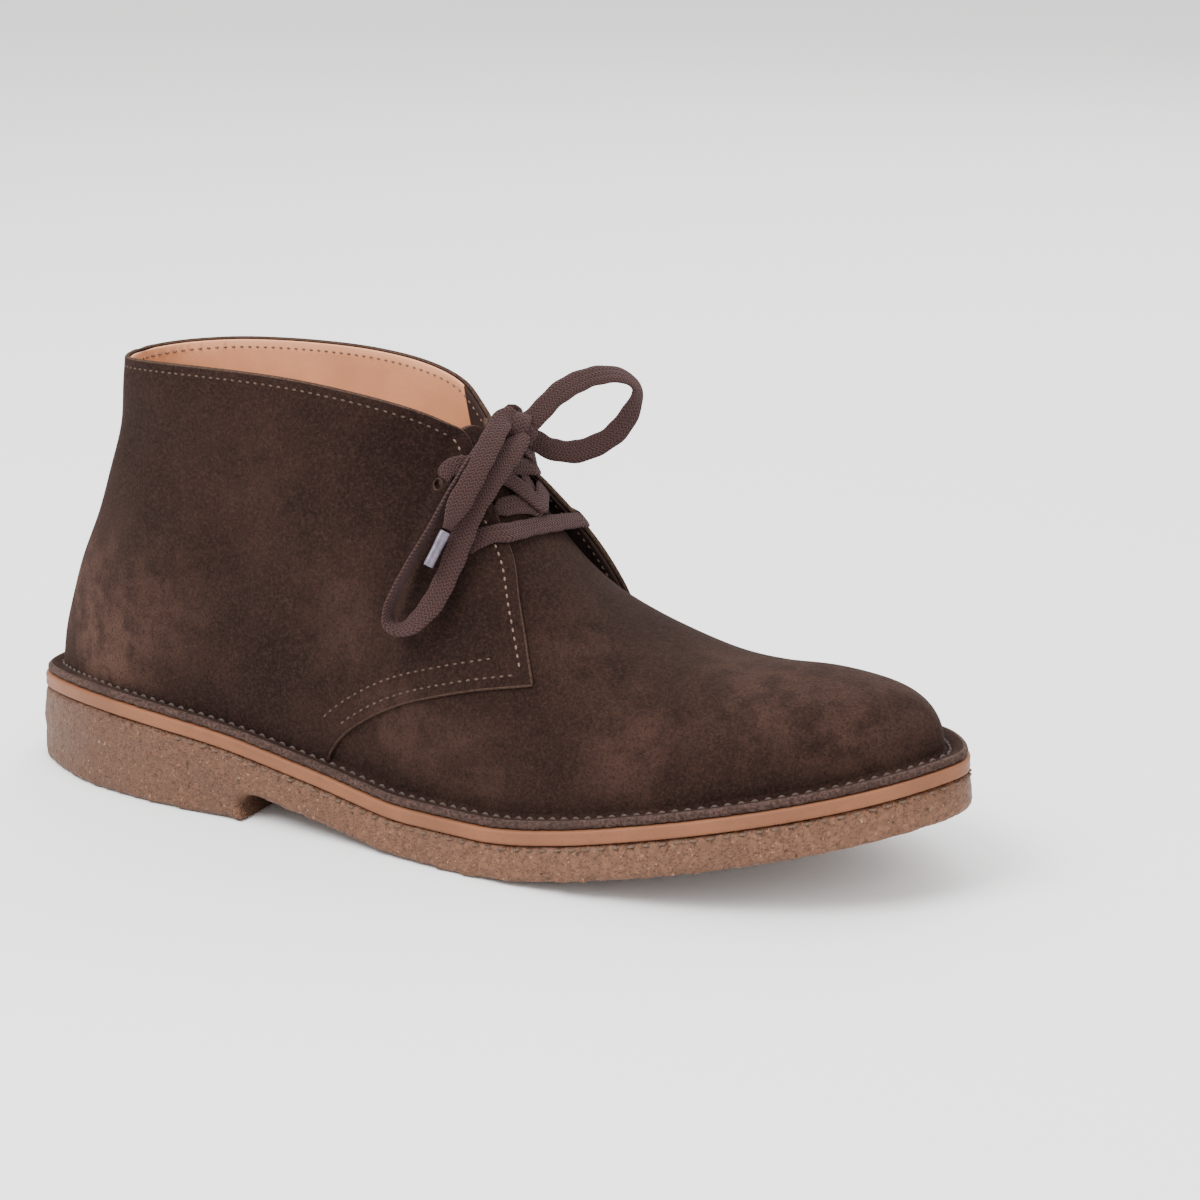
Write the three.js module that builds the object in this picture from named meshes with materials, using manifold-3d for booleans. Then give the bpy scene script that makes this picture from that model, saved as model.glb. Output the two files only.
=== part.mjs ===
// A suede desert boot for the right foot: a crepe sole in one piece with its heel, a leather
// midsole, an upper turned out and stitched down on it, a tongue, an insole and a tied lace.
// Millimetres, +X to the toe, +Y to the inner side of the foot, +Z up.
import * as THREE from 'three';
import { mergeVertices } from 'three/addons/utils/BufferGeometryUtils.js';
import Module from 'manifold-3d';

const wasm = await Module();
wasm.setup();

// Driving sizes
const LENGTH = 295.5;         // sole at the midsole's edge, heel back to toe tip
const BALL_WIDTH = 100.4;     // midsole across the ball
const COLLAR_HEIGHT = 127.5;  // floor to the highest point of the collar
const COLLAR_WIDTH = 51;      // across the collar's mouth, over the quarters
const INSTEP_HEIGHT = 104;    // floor to the crest where the tongue meets the ankle
const HEEL_RISE = 13.6;       // seat of the heel above the ball
const TOE_SPRING = 22.9;      // toe tip above the ball
const CREPE = 10.3;           // crepe sole under the ball
const MIDSOLE = 4;            // leather midsole
const FLARE = 1;              // crepe's foot past the midsole's edge
const HEEL_LENGTH = 91;       // heel block, back to breast
const BREAST_CURVE = 4;       // depth of the hollow in the heel's breast
const FLANGE_WIDTH = 7;       // midsole's edge in to the wall of the upper
const FLANGE_EDGE = 1;        // midsole's edge in to the flange's edge
const FLANGE = 2.5;           // turned-out flange, up from the midsole
const WALL = 1.6;             // vamp and tongue
const QUARTER_STEP = 1.4;     // quarter's face above the vamp's face
const LATERAL_LIFT = 1;       // outer flap's front edge, up from where it would lie flat
const MEDIAL_LIFT = 6;        // the same on the inner flap, which gapes
const TONGUE_HEIGHT = 104;    // floor to the tongue's top edge
const TONGUE_TUCK = 9;        // tongue's side edge behind the flap's front edge
const SPLIT_LEAN = 0.16;      // lean of the tongue's foot to the toe, run over rise
const INSOLE = 2.4;
const EYELET_RADIUS = 2.1;
const LACE_WIDTH = 7;
const LACE = 1.6;             // lace's thickness
const LACE_TUBE = 3;          // plain tube along a free stretch of lace
const LOWER_RISE = 0.6;       // lower strand's middle above the flaps
const KNOT_RISE = -1;         // upper strand's middle, drawn in under the knot
const KNOT_SIZE = 11;
const AGLET_WIDTH = 2.4;
const GAP = 0.3;              // between pieces that meet
const STATIONS = 40;          // sections along each side, heel back to toe tip
const RISES = 11;             // steps up each section

const table = (names, rows) => rows.map((row) =>
  Object.fromEntries(names.split(' ').map((name, i) => [name, row[i]])));

// Sections of the last, heel back to toe tip. foot and top are shares of LENGTH, lateral and
// medial of BALL_WIDTH, half of COLLAR_WIDTH, crest of INSTEP_HEIGHT. rise and reach are the
// handles of the section's curve at its foot and top, flat is 1 where it arrives level over
// the crest and 0 where it stands up at the collar, turn is its swing to the toe in degrees.
const SECTIONS = table('foot lateral medial top half crest bulge rise reach flat turn', [
  [0, 0, 0, .117, 0, 1.31, -.03, .36, .5, 0, 0],
  [.008, .108, .115, .123, .16, 1.31, -.03, .36, .5, 0, 0],
  [.03, .183, .194, .139, .285, 1.31, -.025, .36, .48, 0, 0],
  [.071, .265, .267, .169, .375, 1.315, -.015, .36, .46, 0, 0],
  [.122, .331, .319, .208, .43, 1.32, 0, .37, .45, 0, 0],
  [.203, .38, .349, .274, .465, 1.32, .01, .38, .44, 0, 0],
  [.305, .402, .347, .355, .465, 1.31, .02, .4, .4, 0, 0],
  [.386, .426, .339, .437, .4, 1.26, .03, .42, .4, .1, 0],
  [.437, .448, .341, .482, .24, 1.18, .03, .44, .42, .45, 0],
  [.477, .47, .353, .504, 0, 1.1, .03, .46, .48, 1, 0],
  [.538, .5, .38, .538, 0, .955, .03, .48, .52, 1, 0],
  [.609, .526, .418, .591, 0, .765, .03, .5, .55, 1, 0],
  [.69, .538, .458, .65, 0, .635, .03, .52, .57, 1, 0],
  [.772, .52, .462, .711, 0, .555, .02, .56, .58, 1, 0],
  [.846, .461, .416, .772, 0, .525, .02, .62, .62, 1, 0],
  [.907, .375, .333, .812, 0, .53, .02, .7, .66, 1, 24],
  [.953, .269, .219, .836, 0, .532, .02, .76, .7, 1, 48],
  [.986, .145, .08, .853, 0, .532, .02, .8, .72, 1, 72],
  [1, .04, -.04, .86, 0, .532, .02, .8, .72, 1, 90],
]);

// Top of the midsole: heel is a share of HEEL_RISE and toe a share of TOE_SPRING.
const SOLE_LINE = table('at heel toe', [
  [0, .8, 0], [.06, .95, 0], [.122, 1, 0], [.254, .81, 0], [.386, .35, 0], [.477, .03, 0],
  [.528, 0, 0], [.6, 0, .01], [.67, 0, .14], [.76, 0, .375], [.893, 0, .72], [1, 0, 1],
]);

// Middle of the foot across the last: y is a share of BALL_WIDTH.
const AXIS = table('at y', [[0, 0], [.45, 0], [.6, -.02], [.8, -.035], [1, -.04]]);

// Edges of the quarter from the side: x is a share of LENGTH, z of COLLAR_HEIGHT, and gape is
// how far the medial flap stands forward and up of the lateral one, a share of MEDIAL_LIFT.
const COLLAR_LINE = table('x z gape', [
  [.041, .98, 0], [.105, .984, 0], [.186, .996, 0], [.271, 1, 0], [.338, .995, 0],
  [.399, .979, 0], [.447, .956, -.2], [.48, .925, -.6], [.503, .883, -.5], [.516, .833, .2],
  [.533, .769, .7], [.553, .706, .7], [.571, .643, .8], [.585, .573, 1], [.602, .494, .8],
  [.618, .416, .2],
]);
const LOWER_LINE = table('x z gape', [
  [.618, .416, .2], [.569, .396, 0], [.525, .368, 0], [.48, .331, 0], [.44, .28, 0],
  [.409, .22, 0], [.391, .15, 0],
]);
const COLLAR_POINTS = 9;      // rows of COLLAR_LINE before the flap's front edge starts
// Eyelet pairs from the side, and where the crest lies under the middle of their strand.
const EYELETS = table('x z crest', [[.524, .66, .582], [.489, .79, .535]]);

// The tied lace, in millimetres from the back of the midsole and the floor: each loop leaves
// the knot and comes back to it, and each end hangs from the knot to its aglet.
const KNOT = [158, 0.5, 113];
const LACE_ROUTES = {
  lace_loop_near: [
    [154.6, -6, 113.2], [154.4, -11.5, 112.3], [153.8, -18.3, 108.2], [151.7, -26.4, 100.2],
    [148.6, -31.3, 91.7], [145.2, -35.1, 84], [142.2, -38.3, 76.7], [140, -40.4, 70.4],
    [140.6, -42, 66.2], [144.4, -42.8, 64.9], [149, -42.2, 67.1], [153.1, -38.8, 72.9],
    [155.8, -34.4, 81.3], [157, -30.2, 88.5], [158.6, -23.9, 97.4], [161, -15, 105.4],
    [162, -6.6, 111],
  ],
  lace_loop_far: [
    [161.7, 3.7, 115.8], [166, 12, 122.3], [170.8, 22, 125.4], [176.3, 30, 125],
    [180.3, 33, 121], [180.2, 30, 115.2], [176.7, 24, 108.5], [170.5, 16, 105.2],
    [165.4, 9, 106.6], [161.9, 4.8, 109.8],
  ],
  lace_end_near: [
    [157.6, -5.2, 117.4], [158, -9.5, 115.8], [158.2, -14.5, 112.8], [157.8, -23.2, 105.4],
    [156, -30, 97.8], [154.6, -34, 92],
  ],
  lace_end_far: [
    [154.4, 4.9, 115.4], [151.4, 11.2, 114.9], [149.4, 17.8, 110.6], [148.6, 24.6, 103],
    [148.8, 29.6, 93.8], [149, 33, 86.4],
  ],
};
const AGLETS = {
  aglet_near: [[154.4, -34.4, 91.4], [151.7, -39.5, 82.6]],
  aglet_far: [[149, 33.2, 85.8], [148.6, 37, 76]],
};

const lerp = THREE.MathUtils.lerp;
const UP = new THREE.Vector3(0, 0, 1);
const vec = (x, y, z) => new THREE.Vector3(x, y, z);

// Smooth value of a column where the rows are at named places along the length.
function along(rows, key, at) {
  let i = rows.findIndex((row) => row.at > at) - 1;
  if (i === -2) i = rows.length - 2;
  i = Math.max(i, 0);
  const [a, b] = [rows[i], rows[i + 1]];
  const t = THREE.MathUtils.clamp((at - a.at) / (b.at - a.at), 0, 1);
  const slope = (k) => {
    const p = rows[Math.max(k - 1, 0)];
    const n = rows[Math.min(k + 1, rows.length - 1)];
    return (n[key] - p[key]) / (n.at - p.at) * (b.at - a.at);
  };
  const [h, g] = [t * t * (3 - 2 * t), t * (1 - t)];
  return lerp(a[key], b[key], h) + g * ((1 - t) * slope(i) - t * slope(i + 1));
}

function soleTop(x) {
  const at = x / LENGTH;
  const heel = Math.max(along(SOLE_LINE, 'heel', at), 0);
  const toe = Math.max(along(SOLE_LINE, 'toe', at), 0);
  return CREPE + MIDSOLE + GAP + heel * HEEL_RISE + toe * TOE_SPRING;
}

// Sections run as a ring: down the lateral side to the toe tip and back up the medial side.
const LAST_ROW = SECTIONS.length - 1;
const RING = SECTIONS.concat(SECTIONS.slice(1, -1).reverse()).map((row, i) => {
  const side = i <= LAST_ROW ? -1 : 1;
  return { ...row, width: side * (side < 0 ? row.lateral : row.medial), mouth: side * row.half };
});

function ringValue(key, q) {
  const n = RING.length;
  const i = Math.floor(q);
  const t = q - i;
  const [a, b, c, d] = [-1, 0, 1, 2].map((k) => RING[(i + k + n) % n][key]);
  return b + 0.5 * t * (c - a + t * (2 * a - 5 * b + 4 * c - d + t * (3 * (b - c) + d - a)));
}

// Edge of the midsole at a place on the ring, drawn in by inset.
function outline(q, inset) {
  const point = (r) => vec(ringValue('foot', r) * LENGTH, ringValue('width', r) * BALL_WIDTH, 0);
  const step = 0.02;
  const tangent = point(q + step).sub(point(q - step)).normalize();
  const outward = vec(tangent.y, -tangent.x, 0);
  return { point: point(q).addScaledVector(outward, -inset), outward };
}

// A point on the last's face: q goes round the foot and v up the section.
function faceOf(q, v) {
  const { point: foot, outward } = outline(q, FLANGE_WIDTH);
  foot.z = soleTop(foot.x) + GAP + FLANGE / 2;
  const side = (q <= LAST_ROW) ? -1 : 1;
  const topX = ringValue('top', q);
  const mouth = Math.max(side * ringValue('mouth', q), 0) * COLLAR_WIDTH;
  const top = vec(topX * LENGTH, along(AXIS, 'y', topX) * BALL_WIDTH + side * mouth,
    ringValue('crest', q) * INSTEP_HEIGHT);
  const height = top.z - foot.z;
  const across = Math.hypot(foot.x - top.x, foot.y - top.y);
  const turn = THREE.MathUtils.degToRad(ringValue('turn', q));
  const flat = THREE.MathUtils.clamp(ringValue('flat', q), 0, 1);
  const reach = ringValue('reach', q);
  const low = foot.clone().addScaledVector(UP, ringValue('rise', q) * height)
    .addScaledVector(outward, ringValue('bulge', q) * height);
  const high = top.clone().addScaledVector(UP, -(1 - flat) * reach * height)
    .addScaledVector(vec(Math.sin(turn), side * Math.cos(turn), 0), flat * reach * across);
  return new THREE.CubicBezierCurve3(foot, low, high, top).getPoint(v);
}

function normalOf(q, v) {
  const step = 0.01;
  const w = Math.min(Math.max(v, 0.02), 0.985);
  const round = faceOf(q + step, w).sub(faceOf(q - step, w));
  const rise = faceOf(q, w + step).sub(faceOf(q, w - step));
  return round.cross(rise).normalize();
}

const skin = (q, v, off) => faceOf(q, v).addScaledVector(normalOf(q, v), off);

// Places on the ring with even steps along the lateral edge, heel back to toe tip.
function evenPlaces() {
  const fine = LAST_ROW * 40;
  const run = [0];
  for (let i = 1; i <= fine; i++) {
    const a = outline((i - 1) / 40, 0).point;
    run.push(run[i - 1] + a.distanceTo(outline(i / 40, 0).point));
  }
  const places = [];
  for (let k = 0; k <= STATIONS; k++) {
    const want = run[fine] * k / STATIONS;
    const i = Math.min(Math.max(run.findIndex((r) => r >= want), 1), fine);
    places.push((i - 1 + (want - run[i - 1]) / (run[i] - run[i - 1])) / 40);
  }
  return places;
}

const PLACES = evenPlaces();
const ROUND = PLACES.concat(PLACES.slice(1, -1).reverse().map((q) => 2 * LAST_ROW - q));

// A closed body from rings of points, with its first and last ring closed by strips that run
// from the lateral side to the medial side.
function loft(rings) {
  const n = rings[0].length;
  const positions = rings.flat().flatMap((p) => [p.x, p.y, p.z]);
  const faces = [];
  const quad = (a, b, c, d) => faces.push(a, b, c, a, c, d);
  for (let r = 0; r + 1 < rings.length; r++) {
    for (let i = 0; i < n; i++) {
      const j = (i + 1) % n;
      quad(r * n + i, r * n + j, (r + 1) * n + j, (r + 1) * n + i);
    }
  }
  const last = (rings.length - 1) * n;
  for (let i = 0; i < n / 2; i++) {
    const [a, b, c, d] = [i, (n - i) % n, n - i - 1, i + 1];
    quad(a, b, c, d);
    quad(last + d, last + c, last + b, last + a);
  }
  return solid(positions, faces);
}

function solid(positions, faces) {
  const geometry = new THREE.BufferGeometry();
  geometry.setAttribute('position', new THREE.Float32BufferAttribute(positions, 3));
  geometry.setIndex(faces);
  return toManifold(geometry);
}

function toManifold(source) {
  const geometry = source.clone();
  geometry.deleteAttribute('normal');
  geometry.deleteAttribute('uv');
  const merged = mergeVertices(geometry, 1e-3);
  const kept = [];
  const index = merged.index.array;
  for (let i = 0; i < index.length; i += 3) {
    const [a, b, c] = [index[i], index[i + 1], index[i + 2]];
    if (a !== b && b !== c && c !== a) kept.push(a, b, c);
  }
  return new wasm.Manifold(new wasm.Mesh({
    numProp: 3,
    vertProperties: new Float32Array(merged.attributes.position.array),
    triVerts: new Uint32Array(kept),
  }));
}

function toGeometry(body) {
  const mesh = body.getMesh();
  const geometry = new THREE.BufferGeometry();
  geometry.setAttribute('position', new THREE.BufferAttribute(mesh.vertProperties, 3));
  geometry.setIndex(new THREE.BufferAttribute(mesh.triVerts, 1));
  geometry.computeVertexNormals();
  return geometry;
}

// The last as a body, its face moved out by off, its foot carried down by drop.
function lastBody(off, drop) {
  const rings = [];
  const shift = (typeof off === 'function') ? off : () => off;
  const low = ROUND.map((q) => {
    const p = skin(q, 0, shift(q, 0));
    return vec(p.x, p.y, p.z - drop);
  });
  rings.push(low);
  for (let r = 0; r <= RISES; r++) {
    const v = r / RISES;
    rings.push(ROUND.map((q) => crestPoint(q, v, shift(q, v))));
  }
  return loft(rings);
}

// On the crest the two sides share one point.
function crestPoint(q, v, off) {
  const point = skin(q, v, off);
  if (v < 1 || Math.abs(ringValue('mouth', q)) > 1e-6) return point;
  const twin = skin(2 * LAST_ROW - q, v, off);
  return point.add(twin).multiplyScalar(0.5);
}

// A plate that follows the sole line, its edge drawn in by inset at its foot and its head.
function plate(lowInset, highInset, low, high) {
  const ring = (inset, height) => ROUND.map((q) => {
    const { point } = outline(q, inset);
    point.z = height(point.x);
    return point;
  });
  return loft([ring(lowInset, low), ring(highInset, high)]);
}

const smooth = (points, count) => new THREE.SplineCurve(points).getPoints(count);

// A body with a side view, from one side of the boot to the other: -1 is lateral, 1 medial.
function sideBody(points, from = -1, to = 1) {
  const geometry = new THREE.ExtrudeGeometry(new THREE.Shape(points),
    { depth: (to - from) * BALL_WIDTH, bevelEnabled: false });
  geometry.translate(0, 0, -to * BALL_WIDTH);
  geometry.rotateX(Math.PI / 2);
  return toManifold(geometry);
}

const shifted = (points, dx, dz) => points.map((p) => new THREE.Vector2(p.x + dx, p.y + dz));

// A quarter's edge from the side, -1 the lateral one and 1 the medial one.
function edgeOf(rows, side) {
  const lift = (side > 0) ? MEDIAL_LIFT * Math.SQRT1_2 : 0;
  return rows.map((row) => new THREE.Vector2(row.x * LENGTH + row.gape * lift,
    row.z * COLLAR_HEIGHT + row.gape * lift));
}

const CORNER = edgeOf(LOWER_LINE, -1)[0];

// Body that holds one side's quarter, grown forward and up by grow.
function quarterSide(side, grow) {
  const top = smooth(edgeOf(COLLAR_LINE, side), 40);
  const low = smooth(edgeOf(LOWER_LINE, side), 16).slice(1);
  const under = low[low.length - 1];
  const points = [...shifted([...top, ...low], grow, grow),
    new THREE.Vector2(under.x, -LENGTH), new THREE.Vector2(-LENGTH, -LENGTH),
    new THREE.Vector2(-LENGTH, top[0].y)];
  const past = grow / BALL_WIDTH;
  return sideBody(points, Math.min(side, 0) - past, Math.max(side, 0) + past);
}

const quarterBody = (off, drop, grow) =>
  lastBody(off, drop).intersect(quarterSide(-1, grow).add(quarterSide(1, grow)));

// Line where the vamp's leather passes under the flaps: from the flap's corner over the crest.
const splitAt = (z) => new THREE.Vector2(CORNER.x + SPLIT_LEAN * (z - CORNER.y), z);

function vampOutline() {
  const low = smooth(edgeOf(LOWER_LINE, -1), 12).slice(1);
  const lap = shifted(low, 0, WALL + QUARTER_STEP);
  return [splitAt(COLLAR_HEIGHT), CORNER, ...lap,
    new THREE.Vector2(lap[lap.length - 1].x, -LENGTH), new THREE.Vector2(2 * LENGTH, -LENGTH),
    new THREE.Vector2(2 * LENGTH, COLLAR_HEIGHT)];
}

// Side view of the tongue, grown all round by grow.
function tongueOutline(grow) {
  const edge = smooth(edgeOf(COLLAR_LINE.slice(COLLAR_POINTS - 1), -1), 16);
  const tuck = shifted(edge, -TONGUE_TUCK - grow, 0).filter((p) => p.y < TONGUE_HEIGHT);
  const height = TONGUE_HEIGHT + grow;
  const foot = new THREE.Vector2(CORNER.x, CORNER.y - grow);
  return [new THREE.Vector2(tuck[0].x, height), ...shifted([splitAt(height), foot], grow - GAP, 0),
    new THREE.Vector2(tuck[tuck.length - 1].x, foot.y), ...tuck.reverse()];
}

function flapLift(q, v) {
  const at = ringValue('top', q);
  const front = THREE.MathUtils.smoothstep(at, .49, .59)
    * (1 - THREE.MathUtils.smoothstep(at, .66, .74));
  const lift = (q <= LAST_ROW) ? LATERAL_LIFT : MEDIAL_LIFT;
  return QUARTER_STEP + lift * front * THREE.MathUtils.smoothstep(v, .45, .85);
}

// The place on the ring whose section meets the crest at a share of LENGTH.
function placeOfCrest(share) {
  let [low, high] = [0, LAST_ROW];
  while (high - low > 1e-4) {
    const q = (low + high) / 2;
    if (ringValue('top', q) < share) low = q;
    else high = q;
  }
  return low;
}

// The face's place that the side view shows at x and z.
function placeAt(x, z, side) {
  let best = { miss: Infinity };
  let [q0, v0, dq, dv] = [LAST_ROW / 2, 0.5, LAST_ROW / 2, 0.5];
  for (let pass = 0; pass < 7; pass++) {
    for (let i = -8; i <= 8; i++) {
      for (let k = -8; k <= 8; k++) {
        const q = THREE.MathUtils.clamp(q0 + dq * i / 8, 0, LAST_ROW);
        const v = THREE.MathUtils.clamp(v0 + dv * k / 8, 0, 1);
        const place = side < 0 ? q : 2 * LAST_ROW - q;
        const p = faceOf(place, v);
        const miss = Math.hypot(p.x - x, p.z - z);
        if (miss < best.miss) best = { miss, q, v, side };
      }
    }
    [q0, v0, dq, dv] = [best.q, best.v, dq / 4, dv / 4];
  }
  return best;
}

// A flat band of lace along a curve, lying on the normals given with its points.
function band(points, normals, grow) {
  const path = new THREE.CatmullRomCurve3(points);
  const lean = new THREE.CatmullRomCurve3(normals);
  const steps = (points.length - 1) * 3;
  const rings = [];
  for (let i = 0; i <= steps; i++) {
    const t = i / steps;
    const tangent = path.getTangent(t);
    const up = lean.getPoint(t);
    up.addScaledVector(tangent, -up.dot(tangent)).normalize();
    const wide = up.clone().cross(tangent);
    const corner = (a, b) => path.getPoint(t).addScaledVector(wide, a * (LACE_WIDTH / 2 + grow))
      .addScaledVector(up, b * (LACE / 2 + grow));
    rings.push([corner(-1, -.4), corner(-.8, -1), corner(.8, -1), corner(1, -.4),
      corner(1, .4), corner(.8, 1), corner(-.8, 1), corner(-1, .4)]);
  }
  return loft(rings);
}

// A strand of lace from a lateral place to a medial one, over the crest at a share of LENGTH.
// height gives its middle's height above the vamp's face, and rise what the crest adds.
function strand(near, far, share, height, rise = 0, grow = 0) {
  const crest = placeOfCrest(share);
  const stops = [[near, 0], [near, .35], [near, .7], [near, 1], [far, .7], [far, .35], [far, 0]];
  const points = [];
  const normals = [];
  for (const [end, part] of stops) {
    const q = lerp(end.q, crest, part);
    const place = end.side < 0 ? q : 2 * LAST_ROW - q;
    const v = lerp(end.v, 1, part);
    points.push(crestPoint(place, v, height(place, v) + rise * part));
    normals.push(part === 1 ? vec(0.6, 0, 1).normalize() : normalOf(place, v));
  }
  return band(points, normals, grow);
}

const eyeletPlace = (eyelet, side) =>
  placeAt(eyelet.x * LENGTH, eyelet.z * COLLAR_HEIGHT, side);

// Strand over the flaps between the two eyelets of a pair.
function strandOver(eyelet, rise, grow) {
  const middle = QUARTER_STEP + (LATERAL_LIFT + MEDIAL_LIFT) / 2;
  const height = (q, v) => (v < 1 ? flapLift(q, v) : middle) + 4 * GAP + LACE / 2;
  return strand(eyeletPlace(eyelet, -1), eyeletPlace(eyelet, 1), eyelet.crest, height, rise, grow);
}

const lowerBar = (grow) => strandOver(EYELETS[0], LOWER_RISE, grow);
const upperBar = (grow) => strandOver(EYELETS[1], KNOT_RISE, grow);

const grownQuarter = quarterBody((q, v) => flapLift(q, v) + GAP, 0, GAP);
const largest = (body) => body.decompose().sort((a, b) => b.volume() - a.volume())[0];

// Two strands that cross on the tongue between the flaps, joined where they cross.
function crossing() {
  const [low, high] = EYELETS;
  const middle = (low.crest + high.crest) / 2;
  const under = 5 * GAP + LACE / 2;
  const pair = strand(eyeletPlace(low, -1), eyeletPlace(high, 1), middle, () => under)
    .add(strand(eyeletPlace(high, -1), eyeletPlace(low, 1), middle, () => under + LACE * .7));
  const end = high.z * COLLAR_HEIGHT - LACE_WIDTH / 2;
  const between = sideBody([new THREE.Vector2(0, 0), new THREE.Vector2(LENGTH, 0),
    new THREE.Vector2(LENGTH, end), new THREE.Vector2(0, end)]);
  return largest(pair.intersect(between).subtract(grownQuarter).subtract(lowerBar(GAP))
    .subtract(upperBar(GAP)));
}

function makeKnot() {
  const knot = new THREE.SphereGeometry(KNOT_SIZE / 2, 12, 8);
  knot.scale(0.95, 1, 0.9);
  return toManifold(knot.translate(...KNOT)).subtract(upperBar(GAP));
}

// A plain round length of lace, or an aglet.
function tube(points, width) {
  const section = new THREE.Shape();
  section.absarc(0, 0, width / 2, 0, 2 * Math.PI);
  const path = new THREE.CatmullRomCurve3(points.map((p) => vec(...p)));
  const steps = Math.max(2, Math.round(path.getLength() / (2 * LACE_TUBE)));
  return new THREE.ExtrudeGeometry(section,
    { steps, curveSegments: 4, extrudePath: path, bevelEnabled: false });
}

const MATERIALS = {
  suede: { color: 0x4a352d, roughness: 0.95, metalness: 0 },
  lining: { color: 0xe0a884, roughness: 0.7, metalness: 0 },
  leather: { color: 0xb98263, roughness: 0.7, metalness: 0 },
  crepe: { color: 0x936c56, roughness: 0.9, metalness: 0 },
  lace: { color: 0x6f5552, roughness: 0.9, metalness: 0 },
  aglet: { color: 0x7d7384, roughness: 0.25, metalness: 0 },
};

const boot = new THREE.Group();

function addPiece(name, geometry, material) {
  const mesh = new THREE.Mesh(geometry, new THREE.MeshStandardMaterial(MATERIALS[material]));
  mesh.name = name;
  boot.add(mesh);
  return mesh;
}

function makeOutsole() {
  const head = (x) => soleTop(x) - MIDSOLE - GAP;
  const forefoot = plate(-FLARE, 0, (x) => Math.max(soleTop(x) - MIDSOLE - CREPE - GAP, 0), head);
  const block = plate(-FLARE, 0, () => 0, (x) => soleTop(x) - MIDSOLE - GAP - 1);
  const breast = [new THREE.Vector2(HEEL_LENGTH, 0),
    new THREE.Vector2(HEEL_LENGTH - BREAST_CURVE / 2, HEEL_RISE * .35),
    new THREE.Vector2(HEEL_LENGTH, HEEL_RISE * .75),
    new THREE.Vector2(HEEL_LENGTH + BREAST_CURVE, HEEL_RISE)];
  const side = [new THREE.Vector2(HEEL_LENGTH, -1), ...smooth(breast, 6),
    new THREE.Vector2(HEEL_LENGTH + BREAST_CURVE, COLLAR_HEIGHT),
    new THREE.Vector2(-LENGTH, COLLAR_HEIGHT), new THREE.Vector2(-LENGTH, -1)];
  return forefoot.add(block.intersect(sideBody(side)));
}

function makeMidsole() {
  return plate(0, 0, (x) => soleTop(x) - MIDSOLE, soleTop);
}

function makeInsole() {
  const inset = FLANGE_WIDTH + WALL + 2 * GAP;
  return plate(inset, inset, (x) => soleTop(x) + GAP, (x) => soleTop(x) + GAP + INSOLE);
}

function eyeletPins() {
  return EYELETS.map((eyelet) => {
    const pin = new THREE.CylinderGeometry(EYELET_RADIUS, EYELET_RADIUS, 2 * BALL_WIDTH, 12);
    pin.translate(eyelet.x * LENGTH, 0, eyelet.z * COLLAR_HEIGHT);
    return toManifold(pin);
  });
}

function makeUpper() {
  const foot = FLANGE / 2;
  const lining = (q, v) => flapLift(q, v) - WALL - QUARTER_STEP;
  const quarter = quarterBody(flapLift, foot, 0).subtract(lastBody(lining, LENGTH / 10));
  const vamp = lastBody(0, foot).intersect(sideBody(vampOutline()));
  const flange = plate(FLANGE_EDGE, FLANGE_EDGE, (x) => soleTop(x) + GAP,
    (x) => soleTop(x) + GAP + FLANGE);
  const inside = lastBody(-WALL, LENGTH / 10);
  const underFlap = lastBody(GAP, 0).intersect(sideBody(tongueOutline(GAP)));
  let upper = quarter.add(vamp).add(flange).subtract(inside).subtract(underFlap);
  for (const pin of eyeletPins()) upper = upper.subtract(pin);
  return upper;
}

function makeTongue() {
  return lastBody(0, 0).subtract(lastBody(-WALL, LENGTH / 10))
    .intersect(sideBody(tongueOutline(0)));
}

addPiece('outsole', toGeometry(makeOutsole()), 'crepe');
addPiece('midsole', toGeometry(makeMidsole()), 'leather');
addPiece('insole', toGeometry(makeInsole()), 'lining');
addPiece('upper', toGeometry(makeUpper()), 'suede');
addPiece('tongue', toGeometry(makeTongue()), 'suede');

addPiece('lace_lower_bar', toGeometry(lowerBar(0)), 'lace');
addPiece('lace_upper_bar', toGeometry(upperBar(0)), 'lace');
addPiece('lace_crossing', toGeometry(crossing()), 'lace');
addPiece('lace_knot', toGeometry(makeKnot()), 'lace');
for (const [name, points] of Object.entries(LACE_ROUTES)) {
  addPiece(name, tube(points, LACE_TUBE), 'lace');
}
for (const [name, points] of Object.entries(AGLETS)) {
  addPiece(name, tube(points, AGLET_WIDTH), 'aglet');
}

const body = new THREE.Box3().setFromObject(boot);
boot.position.set(-(body.min.x + body.max.x) / 2, -(body.min.y + body.max.y) / 2, -body.min.z);
boot.updateMatrixWorld(true);

export default boot;
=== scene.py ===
# A suede desert boot for the right foot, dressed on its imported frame.
# Sizes in the tables and functions are millimetres from the back of the midsole and the floor,
# with X to the toe, Y to the inner side of the foot and Z up. Meshes are made in metres.
import math

import bmesh
import bpy
import numpy as np
from bpy.props import FloatProperty, FloatVectorProperty, PointerProperty
from mathutils import Matrix, Vector
from mathutils.geometry import delaunay_2d_cdt


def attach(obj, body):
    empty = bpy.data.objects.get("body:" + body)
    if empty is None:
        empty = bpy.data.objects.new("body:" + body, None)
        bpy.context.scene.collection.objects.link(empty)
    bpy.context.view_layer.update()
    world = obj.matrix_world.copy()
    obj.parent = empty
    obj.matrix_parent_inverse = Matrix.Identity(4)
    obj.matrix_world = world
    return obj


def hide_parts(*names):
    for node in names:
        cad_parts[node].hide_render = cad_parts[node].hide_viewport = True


bl_info = {
    "name": "Desert boot",
    "version": (1, 0, 0),
    "blender": (4, 5, 0),
    "location": "View3D > Sidebar > Boot",
    "description": "Suede upper, leather midsole, crepe sole and tied lace of a desert boot",
    "category": "Add Mesh",
}

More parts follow.
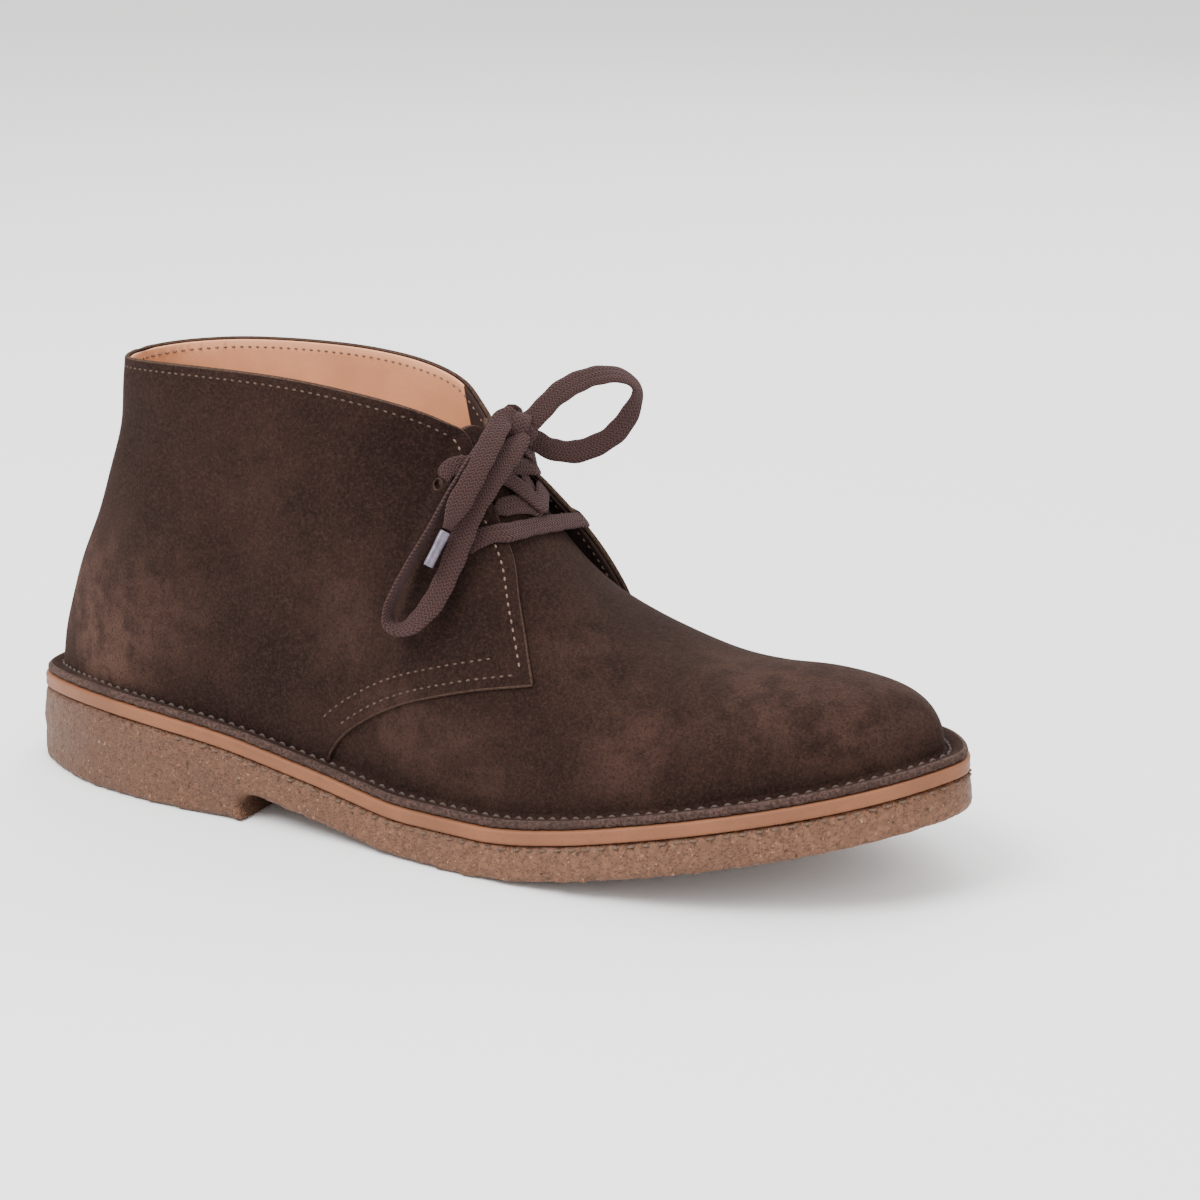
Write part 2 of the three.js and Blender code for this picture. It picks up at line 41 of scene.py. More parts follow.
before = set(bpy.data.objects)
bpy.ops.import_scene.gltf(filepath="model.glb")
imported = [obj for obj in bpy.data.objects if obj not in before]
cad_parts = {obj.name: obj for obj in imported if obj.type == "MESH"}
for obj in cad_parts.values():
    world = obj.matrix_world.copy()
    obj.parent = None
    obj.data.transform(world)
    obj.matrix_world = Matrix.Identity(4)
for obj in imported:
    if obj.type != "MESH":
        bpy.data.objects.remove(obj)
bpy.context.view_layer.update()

LENGTH = 295.5
BALL_WIDTH = 100.4
COLLAR_HEIGHT = 127.5
COLLAR_WIDTH = 51
INSTEP_HEIGHT = 104
HEEL_RISE = 13.6
TOE_SPRING = 22.9
CREPE = 10.3
MIDSOLE = 4
FLARE = 1
HEEL_LENGTH = 91
FLANGE_WIDTH = 7
FLANGE = 2.5
WALL = 1.6
QUARTER_STEP = 1.4
LATERAL_LIFT = 1
MEDIAL_LIFT = 6
TONGUE_HEIGHT = 104
TONGUE_TUCK = 15
INSOLE = 2.4
GAP = 0.3
LAP = 8  # how far the vamp runs on under the quarter
HOLE = 1.6  # radius of an eyelet hole
LINING_FACE, LINING_BACK = 1.4, 2.25  # the lining's two faces, in from the quarter's
COLLAR_SEAM = 2.3  # the collar's stitches, in from its edge
SOLE_STEPS = 420  # places round the crepe sole before it is remeshed
CREPE_MESH, CREPE_PIT = .00125, .00013  # the crepe's mesh step and pit depth, in metres
PLACE = np.array([-147.75, 3.626, 0])  # the boot's middle, moved to the frame's origin


def table(names, rows):
    return [dict(zip(names.split(), row)) for row in rows]


SECTIONS = table("foot lateral medial top half crest bulge rise reach flat turn", [
    [0, 0, 0, .117, 0, 1.31, -.03, .36, .5, 0, 0],
    [.008, .108, .115, .123, .16, 1.31, -.03, .36, .5, 0, 0],
    [.03, .183, .194, .139, .285, 1.31, -.025, .36, .48, 0, 0],
    [.071, .265, .267, .169, .375, 1.315, -.015, .36, .46, 0, 0],
    [.122, .331, .319, .208, .43, 1.32, 0, .37, .45, 0, 0],
    [.203, .38, .349, .274, .465, 1.32, .01, .38, .44, 0, 0],
    [.305, .402, .347, .355, .465, 1.31, .02, .4, .4, 0, 0],
    [.386, .426, .339, .437, .4, 1.26, .03, .42, .4, .1, 0],
    [.437, .448, .341, .482, .24, 1.18, .03, .44, .42, .45, 0],
    [.477, .47, .353, .504, 0, 1.1, .03, .46, .48, 1, 0],
    [.538, .5, .38, .538, 0, .955, .03, .48, .52, 1, 0],
    [.609, .526, .418, .591, 0, .765, .03, .5, .55, 1, 0],
    [.69, .538, .458, .65, 0, .635, .03, .52, .57, 1, 0],
    [.772, .52, .462, .711, 0, .555, .02, .56, .58, 1, 0],
    [.846, .461, .416, .772, 0, .525, .02, .62, .62, 1, 0],
    [.907, .375, .333, .812, 0, .53, .02, .7, .66, 1, 24],
    [.953, .269, .219, .836, 0, .532, .02, .76, .7, 1, 48],
    [.986, .145, .08, .853, 0, .532, .02, .8, .72, 1, 72],
    [1, .04, -.04, .86, 0, .532, .02, .8, .72, 1, 90],
])
SOLE_LINE = table("at heel toe", [
    [0, .8, 0], [.06, .95, 0], [.122, 1, 0], [.254, .81, 0], [.386, .35, 0], [.477, .03, 0],
    [.528, 0, 0], [.6, 0, .01], [.67, 0, .14], [.76, 0, .375], [.893, 0, .72], [1, 0, 1],
])
AXIS = table("at y", [[0, 0], [.45, 0], [.6, -.02], [.8, -.035], [1, -.04]])
COLLAR_LINE = table("x z gape", [
    [.041, .98, 0], [.105, .984, 0], [.186, .996, 0], [.271, 1, 0], [.338, .995, 0],
    [.399, .979, 0], [.447, .956, -.2], [.48, .925, -.6], [.503, .883, -.5], [.516, .833, .2],
    [.533, .769, .7], [.553, .706, .7], [.571, .643, .8], [.585, .573, 1], [.602, .494, .8],
    [.618, .416, .2],
])
LOWER_LINE = table("x z gape", [
    [.618, .416, .2], [.569, .396, 0], [.525, .368, 0], [.48, .331, 0], [.44, .28, 0],
    [.409, .22, 0], [.391, .15, 0],
])
EYELETS = table("x z crest", [[.524, .66, .582], [.489, .79, .535]])

# The tied lace. roll turns its face from the viewer's side, 0 for face on and 90 for edge on.
LACE_ROUTES = {
    "lace_loop_near": table("x y z roll", [
        [157, -2, 114.6, 40], [154.6, -6, 113.2, 60], [154.4, -11.5, 112.3, 80],
        [153.8, -18.3, 108.2, 82], [151.7, -26.4, 100.2, 80], [148.6, -31.3, 91.7, 80],
        [145.2, -35.1, 84, 78], [142.2, -38.3, 76.7, 74], [140, -40.4, 70.4, 70],
        [140.6, -42, 66.2, 62], [144.4, -42.8, 64.9, 50], [149, -42.2, 67.1, 34],
        [153.1, -38.8, 72.9, 18], [155.8, -34.4, 81.3, 6], [157, -30.2, 88.5, 0],
        [158.6, -23.9, 97.4, 0], [161, -15, 105.4, 0], [162, -6.6, 111, 10],
        [160.5, -2, 112.8, 20],
    ]),
    "lace_loop_far": table("x y z roll", [
        [159.5, 1, 115, 20], [161.7, 3.7, 115.8, 10], [166, 12, 122.3, 8],
        [170.8, 22, 125.4, 18], [176.3, 30, 125, 48], [180.3, 33, 121, 66],
        [180.2, 30, 115.2, 40], [176.7, 24, 108.5, 8], [170.5, 16, 105.2, 0],
        [165.4, 9, 106.6, 10], [161.9, 4.8, 109.8, 30], [159.5, 1.5, 112, 40],
    ]),
    "lace_end_near": table("x y z roll", [
        [158.4, 1, 116.4, 0], [157.6, -5.2, 117.4, 0], [158, -9.5, 115.8, 0],
        [158.2, -14.5, 112.8, 0], [157.8, -23.2, 105.4, 2], [156, -30, 97.8, 6],
        [154.6, -34, 92, 8],
    ]),
    "lace_end_far": table("x y z roll", [
        [157, 0.5, 115.2, 0], [154.4, 4.9, 115.4, 0], [151.4, 11.2, 114.9, 10],
        [149.4, 17.8, 110.6, 30], [148.6, 24.6, 103, 50], [148.8, 29.6, 93.8, 60],
        [149, 33, 86.4, 60],
    ]),
}
AGLETS = {
    "aglet_near": [[154.4, -34.4, 91.4], [151.7, -39.5, 82.6]],
    "aglet_far": [[149, 33.2, 85.8], [148.6, 37, 76]],
}
KNOT = [158, 0.5, 113]

# Soft dents and folds in the upper: a place seen from the side, how deep it goes in (a minus
# comes out), how far it runs along its own line and across it, and that line's slope.
FOLDS = table("side x z deep long wide turn", [
    [-1, 72, 66, .9, 26, 7, 28], [-1, 98, 88, .7, 20, 6, 20], [-1, 60, 98, .6, 24, 8, -8],
    [-1, 118, 60, .8, 22, 6, 38], [-1, 140, 44, .6, 24, 7, 20], [-1, 40, 50, .5, 14, 9, 70],
    [-1, 96, 40, -.6, 30, 8, 12], [-1, 176, 45, .6, 20, 5, -35], [-1, 200, 38, .5, 18, 5, -28],
    [-1, 226, 36, .35, 14, 6, -60], [-1, 84, 112, -.5, 30, 9, 4], [-1, 132, 78, -.5, 18, 6, 55],
    [1, 70, 62, .9, 26, 8, 30], [1, 100, 84, .8, 22, 7, 15], [1, 122, 56, .8, 22, 6, 40],
    [1, 150, 46, .6, 22, 6, 20], [1, 184, 44, .6, 20, 5, -35], [1, 208, 38, .5, 18, 5, -28],
    [1, 60, 98, .6, 24, 8, -8], [1, 92, 40, -.6, 28, 8, 10],
])
# Lighter places where the nap is worn, partly a painted highlight: a place, how far it spreads and
# how strong it is.
WORN_AND_HIGHLIGHT_SPOTS = table("x y z spread strength", [
    [24, -24, 52, 22, .8], [36, -30, 34, 16, .7], [10, -10, 62, 14, .4], [56, -38, 58, 18, .5],
    [140, -48, 36, 14, .7], [168, -50, 30, 12, .6], [215, -40, 38, 16, .5], [246, -20, 44, 14, .7],
    [268, -14, 40, 16, .8], [120, -42, 66, 20, .35], [232, 0, 55, 20, .4], [190, -28, 60, 16, .3],
    [30, 26, 46, 20, .7], [150, 40, 36, 16, .6], [262, 18, 42, 18, .6], [90, 40, 60, 18, .4],
    [90, -36, 100, 16, .25], [110, 30, 96, 18, .3],
])


def unit(ways):
    return ways / np.maximum(np.linalg.norm(ways, axis=-1, keepdims=True), 1e-9)


def run_along(path):
    """How far along a path each of its points is."""
    return np.concatenate([[0], np.cumsum(np.linalg.norm(np.diff(path, axis=0), axis=1))])


# Shape of the last

def along(rows, key, at):
    """Smooth value of a column where the rows are at named places along the length."""
    at = np.atleast_1d(np.asarray(at, float))
    places = np.array([row["at"] for row in rows], float)
    values = np.array([row[key] for row in rows], float)
    i = np.clip(np.searchsorted(places, at, side="right") - 1, 0, len(rows) - 2)
    width = places[i + 1] - places[i]
    t = np.clip((at - places[i]) / width, 0, 1)

    def slope(k):
        low, high = np.maximum(k - 1, 0), np.minimum(k + 1, len(rows) - 1)
        return (values[high] - values[low]) / (places[high] - places[low]) * width

    blend = t * t * (3 - 2 * t)
    ends = t * (1 - t) * ((1 - t) * slope(i) - t * slope(i + 1))
    return values[i] + (values[i + 1] - values[i]) * blend + ends


def sole_top(x):
    at = np.asarray(x, float) / LENGTH
    heel = np.maximum(along(SOLE_LINE, "heel", at), 0)
    toe = np.maximum(along(SOLE_LINE, "toe", at), 0)
    return CREPE + MIDSOLE + GAP + heel * HEEL_RISE + toe * TOE_SPRING


TOE = len(SECTIONS) - 1
TURN = 2 * TOE
RING = {}
for _key in SECTIONS[0]:
    RING[_key] = np.array([row[_key] for row in SECTIONS + SECTIONS[-2:0:-1]], float)
_side = np.array([-1] * (TOE + 1) + [1] * (TOE - 1), float)
RING["width"] = _side * np.where(_side < 0, RING["lateral"], RING["medial"])
RING["mouth"] = _side * RING["half"]


def ring_value(key, q):
    column = RING[key]
    i = np.floor(q).astype(int)
    t = q - i
    a, b, c, d = (column[(i + k) % TURN] for k in (-1, 0, 1, 2))
    return b + 0.5 * t * (c - a + t * (2 * a - 5 * b + 4 * c - d + t * (3 * (b - c) + d - a)))


def outline(q, inset):
    """Edge of the midsole at places on the ring, drawn in by inset, and its way outwards."""
    q = np.asarray(q, float)

    def point(r):
        return np.stack([ring_value("foot", r) * LENGTH, ring_value("width", r) * BALL_WIDTH,
                         np.zeros_like(r)], -1)

    tangent = unit(point(q + .02) - point(q - .02))
    outward = np.stack([tangent[..., 1], -tangent[..., 0], np.zeros_like(q)], -1)
    return point(q) - outward * np.asarray(inset, float)[..., None], outward


def face_of(q, v):
    """A point on the last: q goes round the foot and v up the section."""
    q, v = np.broadcast_arrays(np.asarray(q, float), np.asarray(v, float))
    foot, outward = outline(q, np.full(q.shape, float(FLANGE_WIDTH)))
    foot[..., 2] = sole_top(foot[..., 0].ravel()).reshape(q.shape) + GAP + FLANGE / 2
    side = np.where(np.mod(q, TURN) <= TOE, -1.0, 1.0)
    top_x = ring_value("top", q)
    mouth = np.maximum(side * ring_value("mouth", q), 0) * COLLAR_WIDTH
    middle = along(AXIS, "y", top_x.ravel()).reshape(q.shape) * BALL_WIDTH
    top = np.stack([top_x * LENGTH, middle + side * mouth,
                    ring_value("crest", q) * INSTEP_HEIGHT], -1)
    height = top[..., 2] - foot[..., 2]
    across = np.hypot(foot[..., 0] - top[..., 0], foot[..., 1] - top[..., 1])
    turn = np.radians(ring_value("turn", q))
    flat = np.clip(ring_value("flat", q), 0, 1)
    low = foot + outward * (ring_value("bulge", q) * height)[..., None]
    low[..., 2] += ring_value("rise", q) * height
    over = np.stack([np.sin(turn), side * np.cos(turn), np.zeros_like(q)], -1)
    high = top + over * (flat * ring_value("reach", q) * across)[..., None]
    high[..., 2] -= (1 - flat) * ring_value("reach", q) * height
    w = v[..., None]
    return ((1 - w) ** 3 * foot + 3 * w * (1 - w) ** 2 * low + 3 * w * w * (1 - w) * high
            + w ** 3 * top)


def normal_of(q, v):
    w = np.clip(v, .02, .985)
    around = face_of(q + .01, w) - face_of(q - .01, w)
    rise = face_of(q, w + .01) - face_of(q, w - .01)
    return unit(np.cross(around, rise))


def steps(value, low, high):
    t = np.clip((value - low) / (high - low), 0, 1)
    return t * t * (3 - 2 * t)


def flap_lift(q, v):
    """How far the quarter's face stands off the last, more at the front of the flaps."""
    at = ring_value("top", q)
    front = steps(at, .49, .59) * (1 - steps(at, .66, .74))
    lift = np.where(np.mod(q, TURN) <= TOE, LATERAL_LIFT, MEDIAL_LIFT)
    return QUARTER_STEP + lift * front * steps(v, .45, .85)


def fold_depth(point, q):
    """Depth of the soft folds at points on the face."""
    side = np.where(np.mod(q, TURN) <= TOE, -1, 1)
    depth = np.zeros(len(point))
    for fold in FOLDS:
        turn = math.radians(fold["turn"])
        x, z = point[:, 0] - fold["x"], point[:, 2] - fold["z"]
        run = x * math.cos(turn) + z * math.sin(turn)
        off = -x * math.sin(turn) + z * math.cos(turn) - run * run * .006
        near = np.exp(-(run / fold["long"]) ** 2 - (off / fold["wide"]) ** 2)
        depth += np.where(side == fold["side"], near * fold["deep"] * 1.5, 0)
    waves = (np.sin(point[:, 0] * .11 + point[:, 2] * .07 + 1.3 * side)
             * np.sin(point[:, 2] * .13 - point[:, 0] * .04) * .32)
    return depth + waves


def skin(q, v, off):
    """A point off the last's face, with the folds in it. The two sides share the crest."""
    q, v = np.asarray(q, float), np.asarray(v, float)
    off = np.broadcast_to(np.asarray(off, float), q.shape)
    point, normal = face_of(q, v), normal_of(q, v)
    crest = (v > .9999) & (np.abs(ring_value("mouth", q)) < 1e-6)
    if crest.any():
        normal[crest] = unit(normal[crest] + normal_of(TURN - q[crest], v[crest]))
    fade = steps(v, .02, .16) * (1 - steps(v, .86, 1))
    fade *= steps(np.abs(q - TOE), 0, 2.5) * steps(TOE - np.abs(q - TOE), 0, 1.6)
    return point + normal * (off - fold_depth(point, q) * fade)[:, None]


def nearest_place(x, z, side, off, q0, v0, dq, dv):
    """(q, v) nearest to x and z in the side view, within dq and dv of the given places."""
    grid = np.arange(-8, 9) / 8
    gq, gv = (g.ravel() for g in np.meshgrid(grid, grid))
    for _ in range(7):
        q = np.clip(q0[:, None] + dq * gq, 0, TOE)
        v = np.clip(v0[:, None] + dv * gv, 0, 1)
        place = q if side < 0 else TURN - q
        p = face_of(place, v)
        if off is not None:
            lift = off(place.ravel(), v.ravel()).reshape(place.shape)
            p = p + normal_of(place, v) * lift[..., None]
        miss = np.hypot(p[..., 0] - x[:, None], p[..., 2] - z[:, None])
        best = np.argmin(miss, axis=1)
        rows = np.arange(len(x))
        q0, v0 = q[rows, best], v[rows, best]
        dq, dv = dq / 4, dv / 4
    return q0, v0


def place_at(x, z, side, off=None):
    """(q, v) of the face's places that the side view shows at x and z, in a line or alone."""
    x, z = np.asarray(x, float), np.asarray(z, float)
    n = len(x)
    q, v = nearest_place(x, z, side, off, np.full(n, TOE / 2), np.full(n, .5), TOE / 2, .5)
    if n > 20:
        reach = np.arange(n)[:, None] + np.arange(-7, 8)
        reach = np.clip(reach, 0, n - 1)
        q, v = np.median(q[reach], axis=1), np.median(v[reach], axis=1)
        q, v = nearest_place(x, z, side, off, q, v, .45, .05)
    return (q if side < 0 else -q), v


def spline(points, count):
    """Points along a smooth curve through the given ones."""
    points = np.asarray(points, float)
    n = len(points)
    at = np.linspace(0, n - 1, count)
    i = np.minimum(at.astype(int), n - 2)
    t = (at - i)[:, None]
    a, b, c, d = (points[np.clip(i + k, 0, n - 1)] for k in (-1, 0, 1, 2))
    return b + 0.5 * t * (c - a + t * (2 * a - 5 * b + 4 * c - d + t * (3 * (b - c) + d - a)))


def evenly(points, step):
    """The same line with its points a step apart."""
    points = np.asarray(points, float)
    run = run_along(points)
    count = max(2, int(round(run[-1] / step)) + 1)
    want = np.linspace(0, run[-1], count)
    return np.stack([np.interp(want, run, points[:, k]) for k in range(points.shape[1])], -1)


def edge_of(rows, side):
    lift = MEDIAL_LIFT * math.sqrt(.5) if side > 0 else 0
    return np.array([[row["x"] * LENGTH + row["gape"] * lift,
                      row["z"] * COLLAR_HEIGHT + row["gape"] * lift] for row in rows])


# Meshes

def to_row(points):
    return (np.asarray(points, float) + PLACE) * .001


def new_piece(name, points, faces, material, nodes, slot):
    mesh = bpy.data.meshes.new(name)
    mesh.from_pydata(to_row(points).tolist(), [], [list(map(int, f)) for f in faces])
    mesh.validate()
    mesh.update()
    piece = bpy.data.objects.new(name, mesh)
    bpy.context.scene.collection.objects.link(piece)
    mesh.polygons.foreach_set("use_smooth", [True] * len(mesh.polygons))
    mesh.materials.append(material)
    finish_piece(piece, nodes)
    return piece


def finish_piece(piece, nodes):
    if nodes:
        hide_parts(*nodes)
    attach(piece, "root")


def weld(piece, distance=1e-5, outward=False):
    body = bmesh.new()
    body.from_mesh(piece.data)
    bmesh.ops.remove_doubles(body, verts=body.verts, dist=distance)
    if outward:
        bmesh.ops.recalc_face_normals(body, faces=body.faces)
    body.to_mesh(piece.data)
    body.free()


def set_attribute(piece, name, values):
    layer = piece.data.attributes.new(name, "FLOAT", "POINT")
    layer.data.foreach_set("value", np.asarray(values, float))


def inside(points, loop):
    """Which points lie in a closed loop."""
    x, y = points[:, 0], points[:, 1]
    odd = np.zeros(len(points), bool)
    for (x0, y0), (x1, y1) in zip(loop, np.roll(loop, -1, axis=0)):
        if y0 == y1:
            continue
        crosses = (y0 > y) != (y1 > y)
        odd ^= crosses & (x < (x1 - x0) * (y - y0) / (y1 - y0) + x0)
    return odd


SPREAD = np.array([16.0, 100.0])  # about the millimetres of a step in q and in v


def cut_sheet(loops, spacing):
    """Triangles over a loop of (q, v) places with holes, and the edges of its rims."""
    rings = [np.asarray(loop, float) * SPREAD for loop in loops]
    low, high = rings[0].min(0), rings[0].max(0)
    rows = np.arange(low[1], high[1], spacing * .866)
    cloud = []
    for i, y in enumerate(rows):
        x = np.arange(low[0] + (i % 2) * spacing / 2, high[0], spacing)
        cloud.append(np.stack([x, np.full(len(x), y)], -1))
    cloud = np.concatenate(cloud)
    keep = inside(cloud, rings[0])
    for hole in rings[1:]:
        keep &= ~inside(cloud, hole)
    cloud = cloud[keep]
    rim = np.concatenate(rings)
    nearest = np.full(len(cloud), np.inf)
    for i in range(0, len(rim), 200):
        gap = np.linalg.norm(cloud[:, None] - rim[None, i:i + 200], axis=2).min(1)
        nearest = np.minimum(nearest, gap)
    cloud = cloud[nearest > spacing * .55]
    edges, start = [], 0
    for ring in rings:
        edges += [(start + i, start + (i + 1) % len(ring)) for i in range(len(ring))]
        start += len(ring)
    points = [Vector(p) for p in np.concatenate([rim, cloud])]
    verts, _, faces, *_ = delaunay_2d_cdt(points, edges, [], 0, 1e-4)
    flat = np.array([tuple(p) for p in verts])
    faces = np.array(faces)
    middle = flat[faces].mean(1)
    keep = inside(middle, rings[0])
    for hole in rings[1:]:
        keep &= ~inside(middle, hole)
    faces = faces[keep]
    a, b, c = (flat[faces[:, k]] for k in range(3))
    area = (b - a)[:, 0] * (c - a)[:, 1] - (b - a)[:, 1] * (c - a)[:, 0]
    faces[area < 0] = faces[area < 0][:, ::-1]
    used, back = np.unique(faces, return_inverse=True)
    faces = back.reshape(faces.shape)
    return flat[used] / SPREAD, faces


def round_heel(places):
    """Places of a sheet that goes round the heel, with q below 0 on the inner side."""
    return np.mod(places[:, 0], TURN), np.clip(places[:, 1], 0, 1)


def over_crest(places):
    """Places of a sheet that goes over the crest, with w below 0 on the outer side."""
    u, w = places[:, 0], places[:, 1]
    return np.where(w <= 0, u, TURN - u), np.clip(1 - np.abs(w), 0, 1)


def leather_sheet(name, loops, spacing, outer, inner, materials, nodes, slot,
                  spread=round_heel, seam=None):
    """A cut sheet on the last with a real thickness and a rounded cut edge."""
    places, faces = cut_sheet(loops, spacing)
    q, v = spread(places)
    top, under = skin(q, v, outer(q, v)), skin(q, v, inner(q, v))
    n = len(places)
    seen = {}
    for f in faces:
        for a, b in ((f[0], f[1]), (f[1], f[2]), (f[2], f[0])):
            seen[(a, b)] = True
    rim = [(a, b) for a, b in seen if (b, a) not in seen]
    if seam is not None:
        joined = places[:, 0] > seam - 1e-6
        rim = [(a, b) for a, b in rim if not (joined[a] and joined[b])]
    push = np.zeros((n, 3))
    normal = top - under
    for a, b in rim:
        out = unit(np.cross(top[b] - top[a], normal[a] + normal[b]))
        push[a] += out
        push[b] += out
    rim_points = sorted({a for edge in rim for a in edge})
    at = {p: i for i, p in enumerate(rim_points)}
    way = unit(push[rim_points])
    thick = np.linalg.norm(normal[rim_points], axis=1, keepdims=True)
    rows = []
    for share in (.14, .5, .86):
        bulge = math.sin(math.pi * share) * .42
        rows.append(top[rim_points] * (1 - share) + under[rim_points] * share
                    + way * thick * bulge)
    points = np.concatenate([top, under] + rows)
    all_faces = faces.tolist() + (faces[:, ::-1] + n).tolist()
    m = len(rim_points)
    for a, b in rim:
        chain_a = [a] + [2 * n + k * m + at[a] for k in range(3)] + [a + n]
        chain_b = [b] + [2 * n + k * m + at[b] for k in range(3)] + [b + n]
        for k in range(4):
            all_faces.append([chain_b[k], chain_a[k], chain_a[k + 1], chain_b[k + 1]])
    piece = new_piece(name, points, all_faces, materials[0], nodes, slot)
    if len(materials) > 1:
        piece.data.materials.append(materials[1])
        index = np.zeros(len(all_faces), int)
        index[2 * len(faces):] = 1
        piece.data.polygons.foreach_set("material_index", index)
    # Where the suede turns lighter: worn nap and painted highlight.
    set_attribute(piece, "worn_and_highlight", worn_and_highlight_at(points))
    if seam is not None:
        weld(piece, 2e-5)
    return piece


# Strength of the lighter nap at each point: partly worn nap, partly a painted highlight.
def worn_and_highlight_at(points):
    value = np.zeros(len(points))
    for spot in WORN_AND_HIGHLIGHT_SPOTS:
        gap = np.linalg.norm(points - [spot["x"], spot["y"], spot["z"]], axis=1)
        value += spot["strength"] * np.exp(-(gap / spot["spread"]) ** 2)
    return np.clip(value, 0, 1)


def tube_mesh(sections):
    """Points and faces of a closed tube through the given rings of points."""
    n, m = sections.shape[:2]
    faces = []
    for i in range(n - 1):
        for k in range(m):
            j = (k + 1) % m
            faces.append([i * m + k, i * m + j, (i + 1) * m + j, (i + 1) * m + k])
    faces.append(list(range(m))[::-1])
    faces.append([(n - 1) * m + k for k in range(m)])
    return sections.reshape(-1, 3), faces


def ribbon(name, path, wide, width, thick, material, nodes, slot, taper=(0, 0)):
    """A flat lace along a path, with its width along the given ways."""
    path, wide = np.asarray(path, float), np.asarray(wide, float)
    tangent = unit(np.gradient(path, axis=0))
    wide = unit(wide - tangent * (wide * tangent).sum(1, keepdims=True))
    up = np.cross(tangent, wide)
    around = np.linspace(0, 2 * math.pi, 21)[:-1]
    a = np.sign(np.cos(around)) * np.abs(np.cos(around)) ** .62
    b = np.sign(np.sin(around)) * np.abs(np.sin(around)) ** .9
    run = run_along(path)
    size = np.ones(len(path))
    for end, reach in ((run, taper[0]), (run[-1] - run, taper[1])):
        if reach:
            size *= .42 + .58 * steps(end, 0, reach)
    wobble = 1 + .035 * np.sin(run * .9) + .03 * np.sin(run * .37 + 1)
    half_width = (width / 2 * size * wobble)[:, None, None]
    half_thick = (thick / 2 * (1.6 - .6 * size))[:, None, None]
    sections = (path[:, None] + wide[:, None] * a[None, :, None] * half_width
                + up[:, None] * b[None, :, None] * half_thick)
    points, faces = tube_mesh(sections)
    piece = new_piece(name, points, faces, material, nodes, slot)
    uv = piece.data.uv_layers.new(name="lace")
    m = len(around)
    for poly in piece.data.polygons:
        for loop in poly.loop_indices:
            index = piece.data.loops[loop].vertex_index
            uv.data[loop].uv = (run[index // m], a[index % m] * width / 2)
    return piece


VIEW_TURN, VIEW_RISE = math.radians(25.855), math.radians(15.656)
TO_VIEWER = np.array([math.sin(VIEW_TURN) * math.cos(VIEW_RISE),
                      -math.cos(VIEW_TURN) * math.cos(VIEW_RISE), math.sin(VIEW_RISE)])
VIEW_RIGHT = np.array([math.cos(VIEW_TURN), math.sin(VIEW_TURN), 0])
VIEW_UP = np.cross(TO_VIEWER, VIEW_RIGHT)
VIEW_DISTANCE = 899.98
SENSOR = 36
LENS = 3145.6 / 1200 * SENSOR


def rolled(path, roll):
    """Ways across the lace for its roll from the viewer's side."""
    tangent = unit(np.gradient(path, axis=0))
    side = np.cross(tangent, TO_VIEWER)
    for _ in range(6):
        side[1:-1] = (side[:-2] + 2 * side[1:-1] + side[2:]) / 4
    side = unit(side - tangent * (side * tangent).sum(1, keepdims=True))
    face = np.cross(side, tangent)
    turn = np.radians(roll)[:, None]
    return side * np.cos(turn) + face * np.sin(turn)


def stitch_row(name, path, ups, pitch, share, width, material, sink=.15):
    """A row of thread stitches along a path, lying on the ways up given with it."""
    path = np.asarray(path, float)
    run = run_along(path)
    count = max(1, int(run[-1] / pitch))
    starts = (np.arange(count) + .5) * run[-1] / count

    def at(value, column):
        return np.stack([np.interp(value, run, column[:, k]) for k in range(3)], -1)

    half = pitch * share / 2
    middle, up = at(starts, path), at(starts, np.asarray(ups, float))
    ahead = unit(at(starts + half, path) - at(starts - half, path))
    up = unit(up - ahead * (up * ahead).sum(1, keepdims=True))
    side = np.cross(ahead, up)
    rows = [(-1, .25, -.55), (-.8, .75, -.1), (-.3, 1, .25), (.3, 1, .25), (.8, .75, -.1),
            (1, .25, -.55)]
    around = np.arange(6) / 6 * 2 * math.pi
    one, faces = [], []
    for reach, fat, high in rows:
        for turn in around:
            one.append((reach * half, math.cos(turn) * width / 2 * fat,
                        math.sin(turn) * width / 2 * fat + high * width - sink))
    one = np.array(one)
    for i in range(len(rows) - 1):
        for k in range(6):
            j = (k + 1) % 6
            faces.append([i * 6 + k, (i + 1) * 6 + k, (i + 1) * 6 + j, i * 6 + j])
    faces.append(list(range(6)))
    faces.append([30 + k for k in range(6)][::-1])
    seed = np.arange(count)
    tilt = .05 * np.sin(seed * 2.3)[:, None]
    ahead, side = ahead + side * tilt, side - ahead * tilt
    points = (middle[:, None] + ahead[:, None] * one[None, :, :1]
              + side[:, None] * one[None, :, 1:2] + up[:, None] * one[None, :, 2:3])
    many = [[i + c * len(one) for i in f] for c in range(count) for f in faces]
    new_piece(name, points.reshape(-1, 3), many, material, (), "lace")


# Finishes

